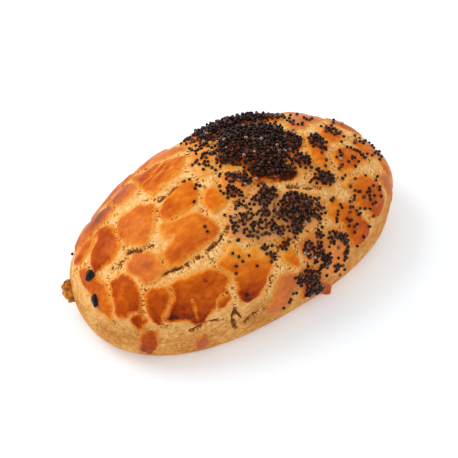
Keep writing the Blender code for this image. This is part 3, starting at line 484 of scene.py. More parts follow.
# Where the seeds lie: how thickly from 0 to 1, then the patch's corners (along, across).
seeds = {
    "patches": (
        (1.0, ((-3.6, 3.6), (-4.8, 1.2), (-2.9, 0.1), (-0.2, -1.5), (0.4, -4.7), (-0.2, -7.5), (2, -8.8),
            (5, -9.7), (8, -10.4), (12.6, -11.8), (12, -9.4), (11.5, -8), (13.4, -6), (15.5, -4.4),
            (17.4, -1.5), (19.4, 1.5), (20.4, 5), (19, 8), (17, 10), (12.7, 12.3), (9, 13.3), (6, 13.8),
            (3, 12), (0.6, 10.4), (-0.4, 8), (-1.6, 5.6))),
        (0.62, ((16, -5.6), (20.5, -3.8), (22.6, -1.2), (24.2, 2.4), (22.8, 4), (20.6, 2.4),
            (18.8, -1.6))),
        (0.92, ((-3.4, 11.4), (0.2, 10.9), (2, 13.4), (4.2, 16), (9, 15.6), (12.7, 14.5), (17.2, 12.5),
            (20.6, 11.2), (22.6, 13.6), (20.6, 17.4), (16, 20.6), (11, 22.6), (6, 23.8), (2, 24),
            (0, 22.4), (1, 20), (-0.6, 17))),
        (0.85, ((-6.5, -3.4), (-4.5, -2.8), (-2.6, -3.5), (-0.5, -6), (-0.3, -7.6), (-1.6, -8.8),
            (-3.4, -8.6), (-4.2, -7), (-6, -5.6))),
        (0.85, ((-8.6, -6.1), (-7, -6.2), (-5.5, -7.4), (-5.1, -9.4), (-5.7, -10.6), (-8, -9.7),
            (-9.6, -9), (-9.8, -7.4))),
        (0.95, ((-5.3, -12.3), (-2.5, -12.4), (0.4, -10.5), (1.8, -10.3), (2.2, -11.8), (3.8, -12.7),
            (3.3, -14.5), (2.4, -15.9), (0.2, -16.3), (-2, -16.8), (-1.6, -18.8), (-4.8, -20),
            (-5.1, -18), (-3.4, -16.4), (-4.4, -14.6))),
        (1.0, ((4.3, -16.3), (7.8, -15.9), (9.9, -17.3), (12, -18.9), (12.6, -21), (10.8, -22.6),
            (10.4, -24), (8.1, -25.7), (4.7, -26.8), (1.6, -27.6), (0.9, -25.6), (2, -23), (1, -21.5),
            (-2, -21), (-1.7, -19.7), (1.4, -18.2))),
        (0.5, ((12, -19), (14.2, -20), (15.4, -22), (15.2, -25), (13, -26.6), (10.4, -26), (11, -22.6))),
        (0.85, ((-5.2, -20.4), (-2.4, -20.7), (-0.3, -24), (-0.8, -25.8), (-2.4, -25.2), (-4.3, -22.5))),
        (0.9, ((-4.2, -27.5), (-1.1, -26.7), (-0.1, -28), (-2.4, -29.5), (-4.2, -28.9))),
        (0.95, ((-10.2, -25.4), (-8.6, -24.3), (-7.4, -25.4), (-8.2, -27), (-9.6, -27))),
        (0.95, ((-9, -28), (-7.8, -27.4), (-6.2, -29), (-7.2, -30.6), (-8.8, -30))),
        (0.9, ((12.5, -7), (15, -5.9), (18.3, -6.7), (19.4, -9), (18.2, -12), (15.5, -11.3), (13, -9.5))),
        (0.95, ((15.3, -15.8), (17.7, -14), (19.2, -12.9), (20.8, -13.8), (23.2, -15.2), (22.8, -17.2),
            (20.8, -18.7), (18.1, -17.4))),
        (0.85, ((24.2, -2), (26.6, -1.5), (28.8, -1.5), (29.4, -3.5), (28, -4.5), (27.4, -6.6),
            (26.5, -8.6), (24.4, -8), (23.7, -4.6))),
        (0.6, ((33, -1), (34, 1.1), (36, 1.7), (37.6, 0.6), (38.6, -2), (37.6, -3.5), (35, -2.7),
            (33.8, -3.2))),
        (0.54, ((-2.6, -37.9), (-0.5, -38.4), (2, -37.2), (4.6, -37.5), (5.4, -39.4), (8.3, -39.3),
            (8.9, -41.5), (8.2, -43.5), (9, -45.6), (12.4, -46.3), (12.5, -48.8), (9.5, -48.5),
            (7, -46.8), (4.5, -48.2), (1.3, -46.7), (2.5, -44.6), (4, -43.2), (1, -41.8), (-0.9, -42),
            (-2.1, -40))),
        (0.65, ((2.9, -31.5), (5.5, -30.3), (8, -31.4), (10.6, -31.6), (10.9, -34), (9.7, -36.1),
            (7, -37), (5.6, -35), (3.9, -34.7), (2.9, -33))),
        (0.9, ((10.3, -36.3), (13.6, -35.9), (13.7, -38), (11.8, -40), (9.8, -39.1))),
        (0.75, ((13.5, -30.9), (17.5, -30.8), (21, -32.4), (22.5, -34.3), (21.3, -35), (17.5, -33.2),
            (13.4, -32.6))),
        (0.8, ((20.4, -37), (22.4, -35.8), (22.7, -38.8), (21, -39.6))),
        (0.85, ((15.8, -40.5), (18.6, -40.1), (19, -42.5), (16.7, -42.9))),
        (0.9, ((9.8, -28.4), (11.6, -29.2), (11.4, -31), (9.6, -30.4))),
        (0.2, ((-5, 13), (-4, 22), (2, 27), (12, 27.5), (24, 22), (31, 13), (23, 5), (19, 9), (4, 14))),
        (0.12, ((-8, 16.5), (-1, 19), (1, 15), (2, 12), (0, 9), (-3, 4), (-6, 0.5), (-10.5, 1.5),
            (-9.5, 8), (-6, 13))),
        (0.28, ((-13, -13.5), (-8, -11.5), (-4, -12), (-4, -17), (-4, -21), (-6, -24), (-12, -21.5),
            (-14.4, -18))),
        (0.04, ((24, 3), (24, 9.5), (32, 12), (40, 9), (50, 3), (53, -6), (50, -13), (40, -15),
            (30, -16.6), (25.8, -16.6), (28, -10), (29, 0))),
        (0.05, ((25, -18), (41, -18.6), (43, -26), (39, -29), (33.6, -34), (27, -36.6), (23, -33),
            (17, -27), (18, -22.6))),
    ),
    "patchFade": 1.6,
    "halfLength": 0.54,
    "halfWidth": 0.47,
    "halfHeight": 0.44,
    "kidneyBend": 0.16,
    "sizeSpread": 0.14,
    "tilt": 35,  # degrees either way
    "sink": 0.3,  # of the half height
    "spacing": 0.79,
    "field": ((-30, 56), (-52, 30)),
    "tried": 46000,
    "clumpSize": 2.6,
    "clumpShare": 0.5,
    "secondLayerFrom": 0.8,
    "secondLayerTried": 12000,
    "secondLayerSpacing": 0.95,
    "secondLayerLift": 0.66,
    # seeds that lie by themselves
    "strays": (
        (-20, -12.5), (-20.3, -14), (-17.5, -4.5), (-14.5, -1), (-13.6, 3.1), (-13.4, 0.1), (-12.9, -0.9),
        (-15, 3.5), (-2.6, 15.8), (-4.7, 15.9), (-4.9, 14.4), (-5.1, 11.9), (-5.9, 10.4), (-5.5, 7.8),
        (-4.4, 8.4), (-7.7, 7.5), (-9.4, 7.3), (-8.3, 5.5), (-8.8, 2.9), (-6.6, 5.2), (-7.4, 3.8),
        (-6.7, 1.7), (-2.9, 8), (-2.3, 7), (-3.5, 7), (-3.4, 8), (-7, -2), (-8.8, -4.6), (-9.7, -6.1),
        (-6.2, -1.3), (-8.4, -12.6), (-7, -14.1), (-7.6, -15.6), (-6.7, -16.8), (-11.5, -14.6),
        (-13.3, -12.7), (-9.7, -15.4), (-13.1, -15.6), (-13.7, -16.6), (-13.5, -18), (-10.4, -16.7),
        (-10.8, -17.7), (-11.4, -19), (-14.6, -20.4), (-11.2, -21), (-8, -18.6), (-7, -19),
        (-6, -19.3), (-9.1, -20.5), (-8.2, -21.3), (-6, -22.7), (-5.3, -23.5), (-18.1, -22.4),
        (-17.1, -24), (-16.9, -25.6), (-14.3, -25.3), (-13.7, -28.8), (-19.3, -25.6), (-20.5, -27.2),
        (-14.2, -20.4), (-11, -21), (-6, -26.6), (12.6, -25.4), (12.4, -27), (12.7, -28.4),
        (13.3, -34.2), (15.5, -33.8), (17.4, -35.4), (17.5, -38.5), (21, -41.5), (23.5, -43.3),
        (22, -45), (12.7, -43), (21.8, -36.6), (22.5, -1.5), (24, -11.4), (22.4, -13), (28.5, -1.2),
        (35.2, -5.7), (29, -5.4), (31.8, 8.1), (27.8, 4.3), (26.5, 4.8), (25.2, 5.6), (33.8, -12.2),
        (34.5, -12.8), (33.2, -12.9), (29.8, -11.2), (28.9, -12.3), (27.5, -14.3), (31.1, -13.7),
        (36.7, -9.9), (37.6, -10.3), (36.9, -8.5), (30.9, -9.4), (38.8, -11.9), (37.9, -12),
        (39, -13), (35.3, -14.1), (32.8, -15.4), (41.7, -18.7), (39.7, -20), (30.2, -18.9),
        (27.5, -17.2), (26, -17.9), (40.3, -21.9), (37, -21.6), (34.5, -22.2), (34.3, -23),
        (28.3, -22), (29.4, -22.6), (27.9, -23.3), (27.5, -24.2), (31.3, -24.2), (25.3, -24.4),
        (25.7, -26), (33.3, -27.5), (23.9, -27.1), (21.2, -24.4), (18.6, -22.4), (19.6, -25.8),
        (19.2, -26.7), (18.5, -27.6), (22.4, -28.6), (23.2, -29.3), (22.8, -30.6), (25, -32.6),
        (32.8, -32), (29.8, -34.3), (44.5, -2.4), (40.7, -6), (49.6, -4.8), (48, -7.2), (48.6, -9.4),
        (46, -10.8), (48, -12.4), (-4.4, -43.6), (-2.6, -44.2), (-5.6, -45.6), (-6.2, -46.4),
        (-9.6, -47), (-52.5, 19),
    ),
    "drawSeed": 11,
}


def seedThickness(x, y):
    thickness = np.zeros(np.shape(x))
    for most, corners in seeds["patches"]:
        depth = depthNear(x, y, corners, 3.0)[0]
        thickness = np.maximum(thickness, most * ease(0.5 + depth / seeds["patchFade"]))
    return thickness


def relief(x, y, way, edge):
    # the form that the solid has too
    rolled = 1 - np.exp(-np.clip(edge, 0, None) / skin["plateEdge"])
    bowed = ease(edge / skin["plateBowReach"])
    swell = sum(wavesOver(x, y, waves) for waves in skin["swells"])
    fx, fy, spread, out = skin["flap"]
    flap = out * np.exp(-(((x - fx) ** 2 + (y - fy) ** 2) / spread**2))
    heap = skin["heapRise"] * ease((seedThickness(x, y) - skin["heapFrom"]) / (1 - skin["heapFrom"]))
    form = skin["plateRise"] * rolled + skin["plateBow"] * bowed - skin["sunk"] + swell + heap
    fade = ease((skin["reliefEnds"] - way) / (skin["reliefEnds"] - skin["reliefFadesFrom"]))
    return (form - splitDepth(x, y)) * fade + flap


def acrossCracks(x, y):
    # which way the nearest crack is crossed, as a unit step on the map
    step = skin["crossingStep"]
    slopeX = plateField(x + step, y)[1] - plateField(x - step, y)[1]
    slopeY = plateField(x, y + step)[1] - plateField(x, y - step)[1]
    slope = np.maximum(np.hypot(slopeX, slopeY), 1e-6) * np.where(0.3 * slopeX + slopeY < 0, -1, 1)
    return slopeX / slope, slopeY / slope


def fineSkin(x, y, way, edge, acrossX, acrossY):
    # what the solid is too coarse for: fibres across the cracks, grain and fine folds
    reach = np.linspace(-1, 1, 9) * skin["fibreReach"]
    fibres = (1.0, skin["fibreSize"], skin["fibreSeed"])
    fibre = sum(wavesOver(x + t * acrossX, y + t * acrossY, fibres) for t in reach) / 4.0
    grain = sum(wavesOver(x, y, waves) for waves in skin["grains"])
    bare = ease((0.2 - edge) / 0.4)
    top = ease((1.25 - way) / 0.3)

    turn = math.radians(skin["wrinkleTurn"])
    foldLong, foldWide = skin["wrinkleSize"]
    foldX = (x * math.cos(turn) - y * math.sin(turn)) / foldLong
    foldY = (x * math.sin(turn) + y * math.cos(turn)) / foldWide + wavesOver(x, y, skin["wrinkleStray"])
    (fromAlong, fromAcross), over = skin["wrinkleFrom"], skin["wrinkleFadesOver"]
    wrinkle = latticeNoise(foldX, foldY, 1.0, skin["wrinkleSeed"])
    wrinkle = wrinkle * ease((fromAlong - x) / over) * ease((y - fromAcross) / over)

    height = bare * (skin["fibreRise"] * fibre * top + skin["grainRise"] * grain * (0.4 + 0.6 * top))
    height = height + (1 - bare) * wavesOver(x, y, skin["glazeWaves"]) + skin["wrinkleRise"] * wrinkle
    return height * ease((1.95 - way) / 0.15), wrinkle


def discGrid():
    # a square grid whose rings become rings of a disc: share of the radius, and azimuth, for each point
    along, across = bun["cellsAlong"], bun["cellsAcross"]
    u, v = np.meshgrid(np.linspace(-1, 1, along + 1), np.linspace(-1, 1, across + 1), indexing="ij")
    lead = np.where(np.abs(u) > np.abs(v), u, v)
    safe = np.where(lead == 0, 1.0, lead)
    turn = np.where(np.abs(u) > np.abs(v), v / safe, 2 - u / safe) * math.pi / 4
    azimuth = turn + np.where(lead < 0, math.pi, 0.0)
    azimuth = (azimuth + math.pi) % (2 * math.pi) - math.pi
    return np.abs(lead), azimuth


def gridFaces(rows, columns):
    first = np.arange(rows * columns).reshape(rows, columns)
    return np.stack([first[:-1, :-1], first[1:, :-1], first[1:, 1:], first[:-1, 1:]], axis=-1).reshape(-1, 4)


def rimOf(rows, columns):
    # the grid's outer points in order, anticlockwise seen from above
    first = np.arange(rows * columns).reshape(rows, columns)
    return np.concatenate([first[:-1, 0], first[-1, :-1], first[:0:-1, -1], first[0, :0:-1]])


def addAttribute(mesh, name, values, kind="FLOAT"):
    made = mesh.attributes.new(name, kind, "POINT")
    field = "value" if kind == "FLOAT" else "vector"
    made.data.foreach_set(field, np.ascontiguousarray(values, dtype=np.float32).ravel())


def newObject(name, data):
    made = bpy.data.objects.new(name, data)
    bpy.context.scene.collection.objects.link(made)
    return made


def toScene(points):
    # millimetres from the crown's foot to metres in the frame
    return (points + np.array([*bun["crown"], 0.0])) * mm


def makeSkin():
    share, azimuth = discGrid()
    rows, columns = share.shape
    share, azimuth = share.ravel(), azimuth.ravel()
    total = lengthsOver(planRadius(azimuth))[1][:, -1]
    length = share * total
    x, y = length * np.cos(azimuth), length * np.sin(azimuth)
    way = np.where(share >= 1, 2.0, wayAt(azimuth, length))

    edge, halfway, brownAndShade, paintedSheen = plateField(x, y)
    acrossX, acrossY = acrossCracks(x, y)
    across = onBody(x + 0.5 * acrossX, y + 0.5 * acrossY) - onBody(x - 0.5 * acrossX, y - 0.5 * acrossY)
    fine, wrinkle = fineSkin(x, y, way, edge, acrossX, acrossY)
    out = relief(x, y, way, edge) + fine
    points = bodyPoint(azimuth, way) + out[:, None] * bodyOutward(azimuth, way)
    points[:, 2] = np.where(share >= 1, 0.0, np.maximum(points[:, 2], 0.0))

    rim = rimOf(rows, columns)
    inner = points[rim] * [bun["baseInset"], bun["baseInset"], 1.0]
    count = len(points)
    inside = count + np.arange(len(rim))
    ring = np.stack([rim, inside, np.roll(inside, -1), np.roll(rim, -1)], axis=-1)
    faces = gridFaces(rows, columns).tolist() + ring.tolist() + [inside[::-1].tolist()]
    mesh = bpy.data.meshes.new("bunSkin")
    mesh.from_pydata(toScene(np.concatenate([points, inner])), [], faces)

    # what the crust's material reads at each point: the base's inner ring takes the rim's values
    told = {
        "plateEdge": edge,
        "brownAndShade": brownAndShade,
        "halfway": halfway,
        "paintedSheen": paintedSheen,
        "wrinkle": wrinkle,
        "split": splitDepth(x, y),
        "torn": nearSplit(x, y),
        "way": way,
        "seedShadeAndStain": seedThickness(x, y),
    }
    for name, values in told.items():
        addAttribute(mesh, name, np.concatenate([values, values[rim]]))
    addAttribute(mesh, "under", np.arange(len(mesh.vertices)) >= count)
    addAttribute(mesh, "across", np.concatenate([across, across[rim]]), "FLOAT_VECTOR")
    mesh.validate()
    mesh.update()
    mesh.shade_smooth()
    return newObject("bunSkin", mesh)


# Node helpers: a value in inputs is a number, a colour or another node's output.
def addNode(tree, kind, inputs=None, **settings):
    made = tree.nodes.new(kind)
    for name, value in settings.items():
        setattr(made, name, value)
    for name, value in (inputs or {}).items():
        if isinstance(value, bpy.types.NodeSocket):
            tree.links.new(value, made.inputs[name])
        else:
            made.inputs[name].default_value = value
    return made


def attribute(tree, name):
    return addNode(tree, "ShaderNodeAttribute", attribute_name=name).outputs["Fac"]


def calc(tree, operation, first, second=0.0, third=0.0):
    inputs = {0: first, 1: second, 2: third}
    return addNode(tree, "ShaderNodeMath", inputs, operation=operation).outputs[0]


def between(tree, value, low, high, lowOut=0.0, highOut=1.0):
    inputs = {"Value": value, "From Min": low, "From Max": high, "To Min": lowOut, "To Max": highOut}
    return addNode(tree, "ShaderNodeMapRange", inputs, interpolation_type="SMOOTHSTEP").outputs["Result"]


def mixColour(tree, share, first, second, blend="MIX"):
    inputs = {0: share, 6: first, 7: second}
    return addNode(tree, "ShaderNodeMix", inputs, data_type="RGBA", blend_type=blend).outputs[2]


def ramp(tree, value, stops):
    made = addNode(tree, "ShaderNodeValToRGB", {"Fac": value})
    elements = made.color_ramp.elements
    while len(elements) < len(stops):
        elements.new(0.5)
    for element, (position, colour) in zip(elements, stops):
        element.position = position
        element.color = (*colour, 1.0)
    return made.outputs["Color"]


def speckle(tree, spacing, detail=2.0, roughness=0.5, stretch=1.0):
    # noise whose bumps are that many millimetres apart, drawn out along the bun
    place = addNode(tree, "ShaderNodeTexCoord").outputs["Object"]
    scaled = {0: place, 1: (1 / stretch, 1, 1)}
    place = addNode(tree, "ShaderNodeVectorMath", scaled, operation="MULTIPLY").outputs[0]
    inputs = {"Vector": place, "Scale": 1 / (spacing * mm), "Detail": detail, "Roughness": roughness}
    return addNode(tree, "ShaderNodeTexNoise", inputs).outputs["Fac"]


def strands(tree, spacing, reach):
    # noise drawn out across the nearest crack, like torn strands of dough, from 0 to 1
    place = addNode(tree, "ShaderNodeTexCoord").outputs["Object"]
    across = addNode(tree, "ShaderNodeAttribute", attribute_name="across").outputs["Vector"]
    across = addNode(tree, "ShaderNodeVectorMath", {0: across}, operation="NORMALIZE").outputs[0]
    steps = 7
    total = 0.0
    for step in range(steps):
        far = reach * mm * (2 * step / (steps - 1) - 1)
        shift = {0: across, 1: (far,) * 3, 2: place}
        shifted = addNode(tree, "ShaderNodeVectorMath", shift, operation="MULTIPLY_ADD")
        inputs = {"Vector": shifted.outputs[0], "Scale": 1 / (spacing * mm), "Detail": 0.0}
        grain = addNode(tree, "ShaderNodeTexNoise", inputs).outputs["Fac"]
        total = calc(tree, "ADD", total, grain)
    return between(tree, calc(tree, "DIVIDE", total, steps), 0.36, 0.64)


def newMaterial(name):
    material = bpy.data.materials.new(name)
    material.use_nodes = True
    tree = material.node_tree
    return material, tree, tree.nodes["Principled BSDF"]


def grainyMaterial(name, look, toneOf):
    # one ramp of colours over a speckle, a gloss and a fine bump
    material, tree, shader = newMaterial(name)
    tree.links.new(ramp(tree, toneOf(tree), look["colours"]), shader.inputs["Base Color"])
    shader.inputs["Roughness"].default_value = look["roughness"]
    shader.inputs["Specular IOR Level"].default_value = look["shine"]
    spacing, detail, depth = look["bump"]
    inputs = {"Height": speckle(tree, spacing, detail), "Distance": depth * mm}
    bump = addNode(tree, "ShaderNodeBump", inputs)
    tree.links.new(bump.outputs["Normal"], shader.inputs["Normal"])
    return material


crust = {
    # glaze colours from lightly to deeply baked
    "glaze": (
        (0.0, (0.93, 0.50, 0.13)),
        (0.22, (0.88, 0.30, 0.028)),
        (0.42, (0.72, 0.158, 0.006)),
        (0.62, (0.52, 0.082, 0.003)),
        (0.82, (0.35, 0.040, 0.002)),
        (1.0, (0.07, 0.010, 0.002)),
    ),
    # bare dough from the painted shade at the bottom of a gap between strands to the palest crumb
    "dough": (
        (0.0, (0.20, 0.06, 0.012)),
        (0.2, (0.48, 0.18, 0.03)),
        (0.45, (0.80, 0.352, 0.072)),
        (0.7, (0.90, 0.47, 0.14)),
        (1.0, (0.98, 0.665, 0.315)),
    ),
    "side": (
        (0.0, (0.26, 0.08, 0.013)),
        (0.4, (0.52, 0.190, 0.034)),
        (0.7, (0.69, 0.306, 0.077)),
        (1.0, (0.90, 0.51, 0.18)),
    ),
    "under": ((0.3, (0.30, 0.11, 0.025)), (0.6, (0.50, 0.22, 0.06)), (0.8, (0.62, 0.31, 0.11))),
    # the whitish painted sheen on the glaze, and how much of it shows
    "paintedSheenColour": (0.72, 0.30, 0.125, 1.0),
    "paintedSheenShare": 0.35,
    # painted shade deep in a split
    "splitShadeColour": (0.26, 0.088, 0.024, 1.0),
    "strandSpacing": 0.52,
    "strandReach": 0.36,
    "borderWander": 0.3,
    "borderFray": 0.35,
    "rimWidth": 1.1,
    "rimVaries": 2.0,
    "stainColour": (0.94, 0.62, 0.26, 1.0),
    "stainShare": 0.6,
    "sideFrom": (0.74, 1.02),  # where the top's crumb gives way to the sides' skin
    "roughness": (0.8, 0.38),  # of the crumb and of the glaze
    "coat": 0.03,
    "coatRoughness": 0.22,
    "shine": 0.04,
    "bumpDepth": 0.14,
    "bumpStrength": 0.8,
}


def crustMaterial():
    material, tree, shader = newMaterial("crust")
    coarse, middle, fineGrain = speckle(tree, 9.0), speckle(tree, 2.4, 3.0), speckle(tree, 0.8, 3.0, 0.6)
    strand = strands(tree, crust["strandSpacing"], crust["strandReach"])
    way = attribute(tree, "way")
    wander = calc(tree, "MULTIPLY_ADD", middle, crust["borderWander"] * 2, -crust["borderWander"])
    fray = calc(tree, "MULTIPLY_ADD", strand, crust["borderFray"], -crust["borderFray"] / 2)
    edge = calc(tree, "ADD", attribute(tree, "plateEdge"), calc(tree, "ADD", wander, fray))
    glazed = between(tree, edge, -0.12, 0.2)
    rimEdge = calc(tree, "MULTIPLY_ADD", speckle(tree, 3.5, 3.0), crust["rimVaries"], edge)
    inside = between(tree, calc(tree, "SUBTRACT", rimEdge, crust["rimVaries"] / 2), 0.0, crust["rimWidth"])

    # the glaze: each plate's own brown with painted shade on its lower side, blotched and mottled, lighter at
    # its rim and on its folds, darker under thick seeds as painted shade and stain, and with a whitish
    # painted sheen
    brownAndShade = calc(tree, "ADD", attribute(tree, "brownAndShade"), between(tree, coarse, 0.3, 0.7, -0.12, 0.12))
    streak = speckle(tree, 1.6, 5.0, 0.65, 1.8)
    brownAndShade = calc(tree, "ADD", brownAndShade, between(tree, streak, 0.3, 0.7, -0.1, 0.1))
    brownAndShade = calc(tree, "MULTIPLY_ADD", attribute(tree, "wrinkle"), 0.3, brownAndShade)
    brownAndShade = calc(tree, "MULTIPLY", brownAndShade, calc(tree, "MULTIPLY_ADD", inside, 0.55, 0.45))
    # painted shade and a dark stain under the seeds: the glaze is browner where they lie thickly
    seedShadeAndStain = between(tree, attribute(tree, "seedShadeAndStain"), 0.55, 0.95)
    brownAndShade = calc(tree, "MULTIPLY_ADD", seedShadeAndStain, 0.55, brownAndShade)
    glaze = ramp(tree, brownAndShade, crust["glaze"])
    # a whitish painted sheen mixed into the glaze
    paintedSheen = calc(tree, "MULTIPLY", attribute(tree, "paintedSheen"), crust["paintedSheenShare"])
    glaze = mixColour(tree, paintedSheen, glaze, crust["paintedSheenColour"])

    # the bare crumb: strands, painted shade in small holes and in the gaps between strands, darkest in the
    # middle of a crack, and a golden stain by the plates
    # painted shade in small holes of the crumb
    pitShade = between(tree, speckle(tree, 0.62, 2.0, 0.6, 0.75), 0.38, 0.3)
    crumb = calc(tree, "MULTIPLY_ADD", strand, 0.3, 0.61)
    crumb = calc(tree, "MULTIPLY_ADD", pitShade, -0.42, crumb)
    crumb = calc(tree, "ADD", crumb, between(tree, middle, 0.3, 0.7, -0.14, 0.1))
    central = between(tree, attribute(tree, "halfway"), 1.1, 0.3)
    central = calc(tree, "MULTIPLY", central, between(tree, speckle(tree, 4.0, 1.0), 0.42, 0.56))
    torn = attribute(tree, "torn")
    # painted shade in the gaps between strands: in a crack's middle, and all through the crumb near a split
    gap = calc(tree, "MULTIPLY", between(tree, strand, 0.42, 0.1), central)
    gap = calc(tree, "MAXIMUM", gap, calc(tree, "MULTIPLY", between(tree, strand, 0.6, 0.1), torn))
    crumb = calc(tree, "SUBTRACT", crumb, calc(tree, "MULTIPLY", gap, 0.52))
    # the crumb is darker near a split
    crumb = calc(tree, "MULTIPLY_ADD", torn, -0.1, crumb)
    dough = ramp(tree, crumb, crust["dough"])
    stain = calc(tree, "MULTIPLY", between(tree, edge, -1.5, 0.1), crust["stainShare"])
    dough = mixColour(tree, stain, dough, crust["stainColour"], "MULTIPLY")

    blotches = between(tree, middle, 0.3, 0.7, -0.1, 0.12)
    flakes = between(tree, speckle(tree, 0.8, 6.0, 0.8, 1.8), 0.3, 0.7, -0.27, 0.27)
    sideTone = calc(tree, "ADD", between(tree, coarse, 0.3, 0.7, 0.5, 0.75), blotches)
    sideTone = calc(tree, "ADD", sideTone, flakes)
    # painted shade in small holes of the side
    poreShade = between(tree, speckle(tree, 0.8, 2.0, 0.5, 1.5), 0.36, 0.29)
    sideTone = calc(tree, "SUBTRACT", sideTone, calc(tree, "MULTIPLY", poreShade, 0.5))
    sideTone = calc(tree, "SUBTRACT", sideTone, between(tree, way, 1.5, 2.0, 0.0, 0.14))
    side = ramp(tree, sideTone, crust["side"])
    onSide = calc(tree, "SUBTRACT", between(tree, way, *crust["sideFrom"]), torn)
    bare = mixColour(tree, calc(tree, "MAXIMUM", onSide, 0.0), dough, side)
    colour = mixColour(tree, glazed, bare, glaze)
    # painted shade in the splits: a dark brown that deepens with the split's depth
    split = calc(tree, "MULTIPLY_ADD", strand, -0.5, attribute(tree, "split"))
    colour = mixColour(tree, between(tree, split, -0.05, 0.45, 0.0, 0.95), colour, crust["splitShadeColour"])
    underTone = calc(tree, "MULTIPLY_ADD", fineGrain, 0.5, calc(tree, "MULTIPLY", coarse, 0.5))
    colour = mixColour(tree, attribute(tree, "under"), colour, ramp(tree, underTone, crust["under"]))

    tree.links.new(colour, shader.inputs["Base Color"])
    tree.links.new(between(tree, glazed, 0.0, 1.0, *crust["roughness"]), shader.inputs["Roughness"])
    tree.links.new(calc(tree, "MULTIPLY", glazed, crust["coat"]), shader.inputs["Coat Weight"])
    shader.inputs["Coat Roughness"].default_value = crust["coatRoughness"]
    shader.inputs["Specular IOR Level"].default_value = crust["shine"]

    strandShare = between(tree, way, *crust["sideFrom"], 1.0, 0.4)
    grain = calc(tree, "MULTIPLY_ADD", strand, strandShare, speckle(tree, 0.5, 3.0, 0.6))
    crumbBump = calc(tree, "MULTIPLY", grain, calc(tree, "SUBTRACT", 1.0, glazed))
    glazeBump = calc(tree, "MULTIPLY", calc(tree, "MULTIPLY", speckle(tree, 1.3, 3.0), glazed), 0.45)
    step = calc(tree, "MULTIPLY_ADD", glazed, 1.3, calc(tree, "ADD", crumbBump, glazeBump))
    inputs = {"Height": step, "Distance": crust["bumpDepth"] * mm, "Strength": crust["bumpStrength"]}
    bump = addNode(tree, "ShaderNodeBump", inputs)
    tree.links.new(bump.outputs["Normal"], shader.inputs["Normal"])
    return material


ooze = {
    # the lump of filling that leaked from the seam and baked on
    "azimuth": 169,
    "height": 8.8,
    "size": (2.3, 2.8, 3.3),
    "crags": 1.1,
    "cragSize": 1.7,
    "levels": 5,
    "colours": ((0.25, (0.14, 0.035, 0.005)), (0.45, (0.46, 0.135, 0.012)), (0.72, (0.78, 0.32, 0.045))),
    "roughness": 0.5,
    "shine": 0.12,
    "bump": (0.6, 3.0, 0.3),  # how far apart, how detailed, how deep
}


def makeOoze():
    azimuth = math.radians(ooze["azimuth"])
    foot = bodyPoint(np.array([azimuth]), np.array([1.0]))[0]
    mesh = bpy.data.meshes.new("ooze")
    ball = bmesh.new()
    bmesh.ops.create_icosphere(ball, subdivisions=ooze["levels"], radius=1.0)
    turned = Matrix.Rotation(azimuth, 3, "Z")
    for vertex in ball.verts:
        place = Vector(a * b for a, b in zip(vertex.co, ooze["size"]))
        crag = noise.fractal(place / ooze["cragSize"], 1.0, 2.2, 4)
        place = turned @ (place + vertex.co * ooze["crags"] * crag)
        vertex.co = Vector(toScene(np.array(place) + [foot[0], foot[1], ooze["height"]]))
    ball.to_mesh(mesh)
    ball.free()
    mesh.shade_smooth()
    return newObject("ooze", mesh)


def oozeTone(tree):
    return calc(tree, "MULTIPLY_ADD", speckle(tree, 1.6, 4.0, 0.6), 1.4, -0.2)


def throwSeeds(tried, spacing, chanceOf, draw):
    # places thrown over the field, kept where the chance allows and no kept place is nearer than spacing
    low, high = np.array(seeds["field"]).T
    kept, cells = [], {}
    places = draw.uniform(low, high, (tried, 2))
    chances = chanceOf(places[:, 0], places[:, 1])
    luck = draw.uniform(0, 1, tried)
    for (px, py), chance, drawn in zip(places, chances, luck):
        if drawn > chance:
            continue
        cx, cy = int(px // spacing), int(py // spacing)
        near = [p for dx in (-1, 0, 1) for dy in (-1, 0, 1) for p in cells.get((cx + dx, cy + dy), ())]
        if all((px - qx) ** 2 + (py - qy) ** 2 > spacing**2 for qx, qy in near):
            cells.setdefault((cx, cy), []).append((px, py))
            kept.append((px, py))
    return np.array(kept)


def seedPoints():
    draw = np.random.default_rng(seeds["drawSeed"])

    def firstLayer(x, y):
        thickness = seedThickness(x, y)
        clump = 1 + seeds["clumpShare"] * latticeNoise(x, y, seeds["clumpSize"], 61) * (1 - thickness)
        onPlate = ease((plateField(x, y)[0] + 0.5) / 0.5)
        return np.clip(thickness**1.3 * clump, 0, 1) * onPlate

    def secondLayer(x, y):
        return ease((seedThickness(x, y) - seeds["secondLayerFrom"]) / 0.15) * (plateField(x, y)[0] > 0.5)

    lower = throwSeeds(seeds["tried"], seeds["spacing"], firstLayer, draw)
    upper = throwSeeds(seeds["secondLayerTried"], seeds["secondLayerSpacing"], secondLayer, draw)
    strays = np.array(seeds["strays"], dtype=float)
    places = np.concatenate([lower, upper, strays])
    lift = np.full(len(places), seeds["halfHeight"] * (1 - seeds["sink"]))
    lift[len(lower) : len(lower) + len(upper)] += seeds["secondLayerLift"]
    print("seeds:", len(lower), "below,", len(upper), "above")

    x, y = places.T
    azimuth = np.arctan2(y, x)
    way = wayAt(azimuth, np.hypot(x, y))
    edge = plateField(x, y)[0]
    outward = bodyOutward(azimuth, way)
    points = bodyPoint(azimuth, way) + outward * (relief(x, y, way, edge) + lift)[:, None]
    mesh = bpy.data.meshes.new("seedPoints")
    mesh.from_pydata(toScene(points), [], [])
    addAttribute(mesh, "outward", outward, "FLOAT_VECTOR")
    return mesh


def randomNumber(tree, seed, *ends):
    # a number drawn for each seed, between two ends or else from 0 to 1
    made = addNode(tree, "FunctionNodeRandomValue", {"Seed": seed}, data_type="FLOAT")
    for socket, value in zip([s for s in made.inputs if s.enabled], ends):
        tree.links.new(value, socket)
    return next(s for s in made.outputs if s.enabled)


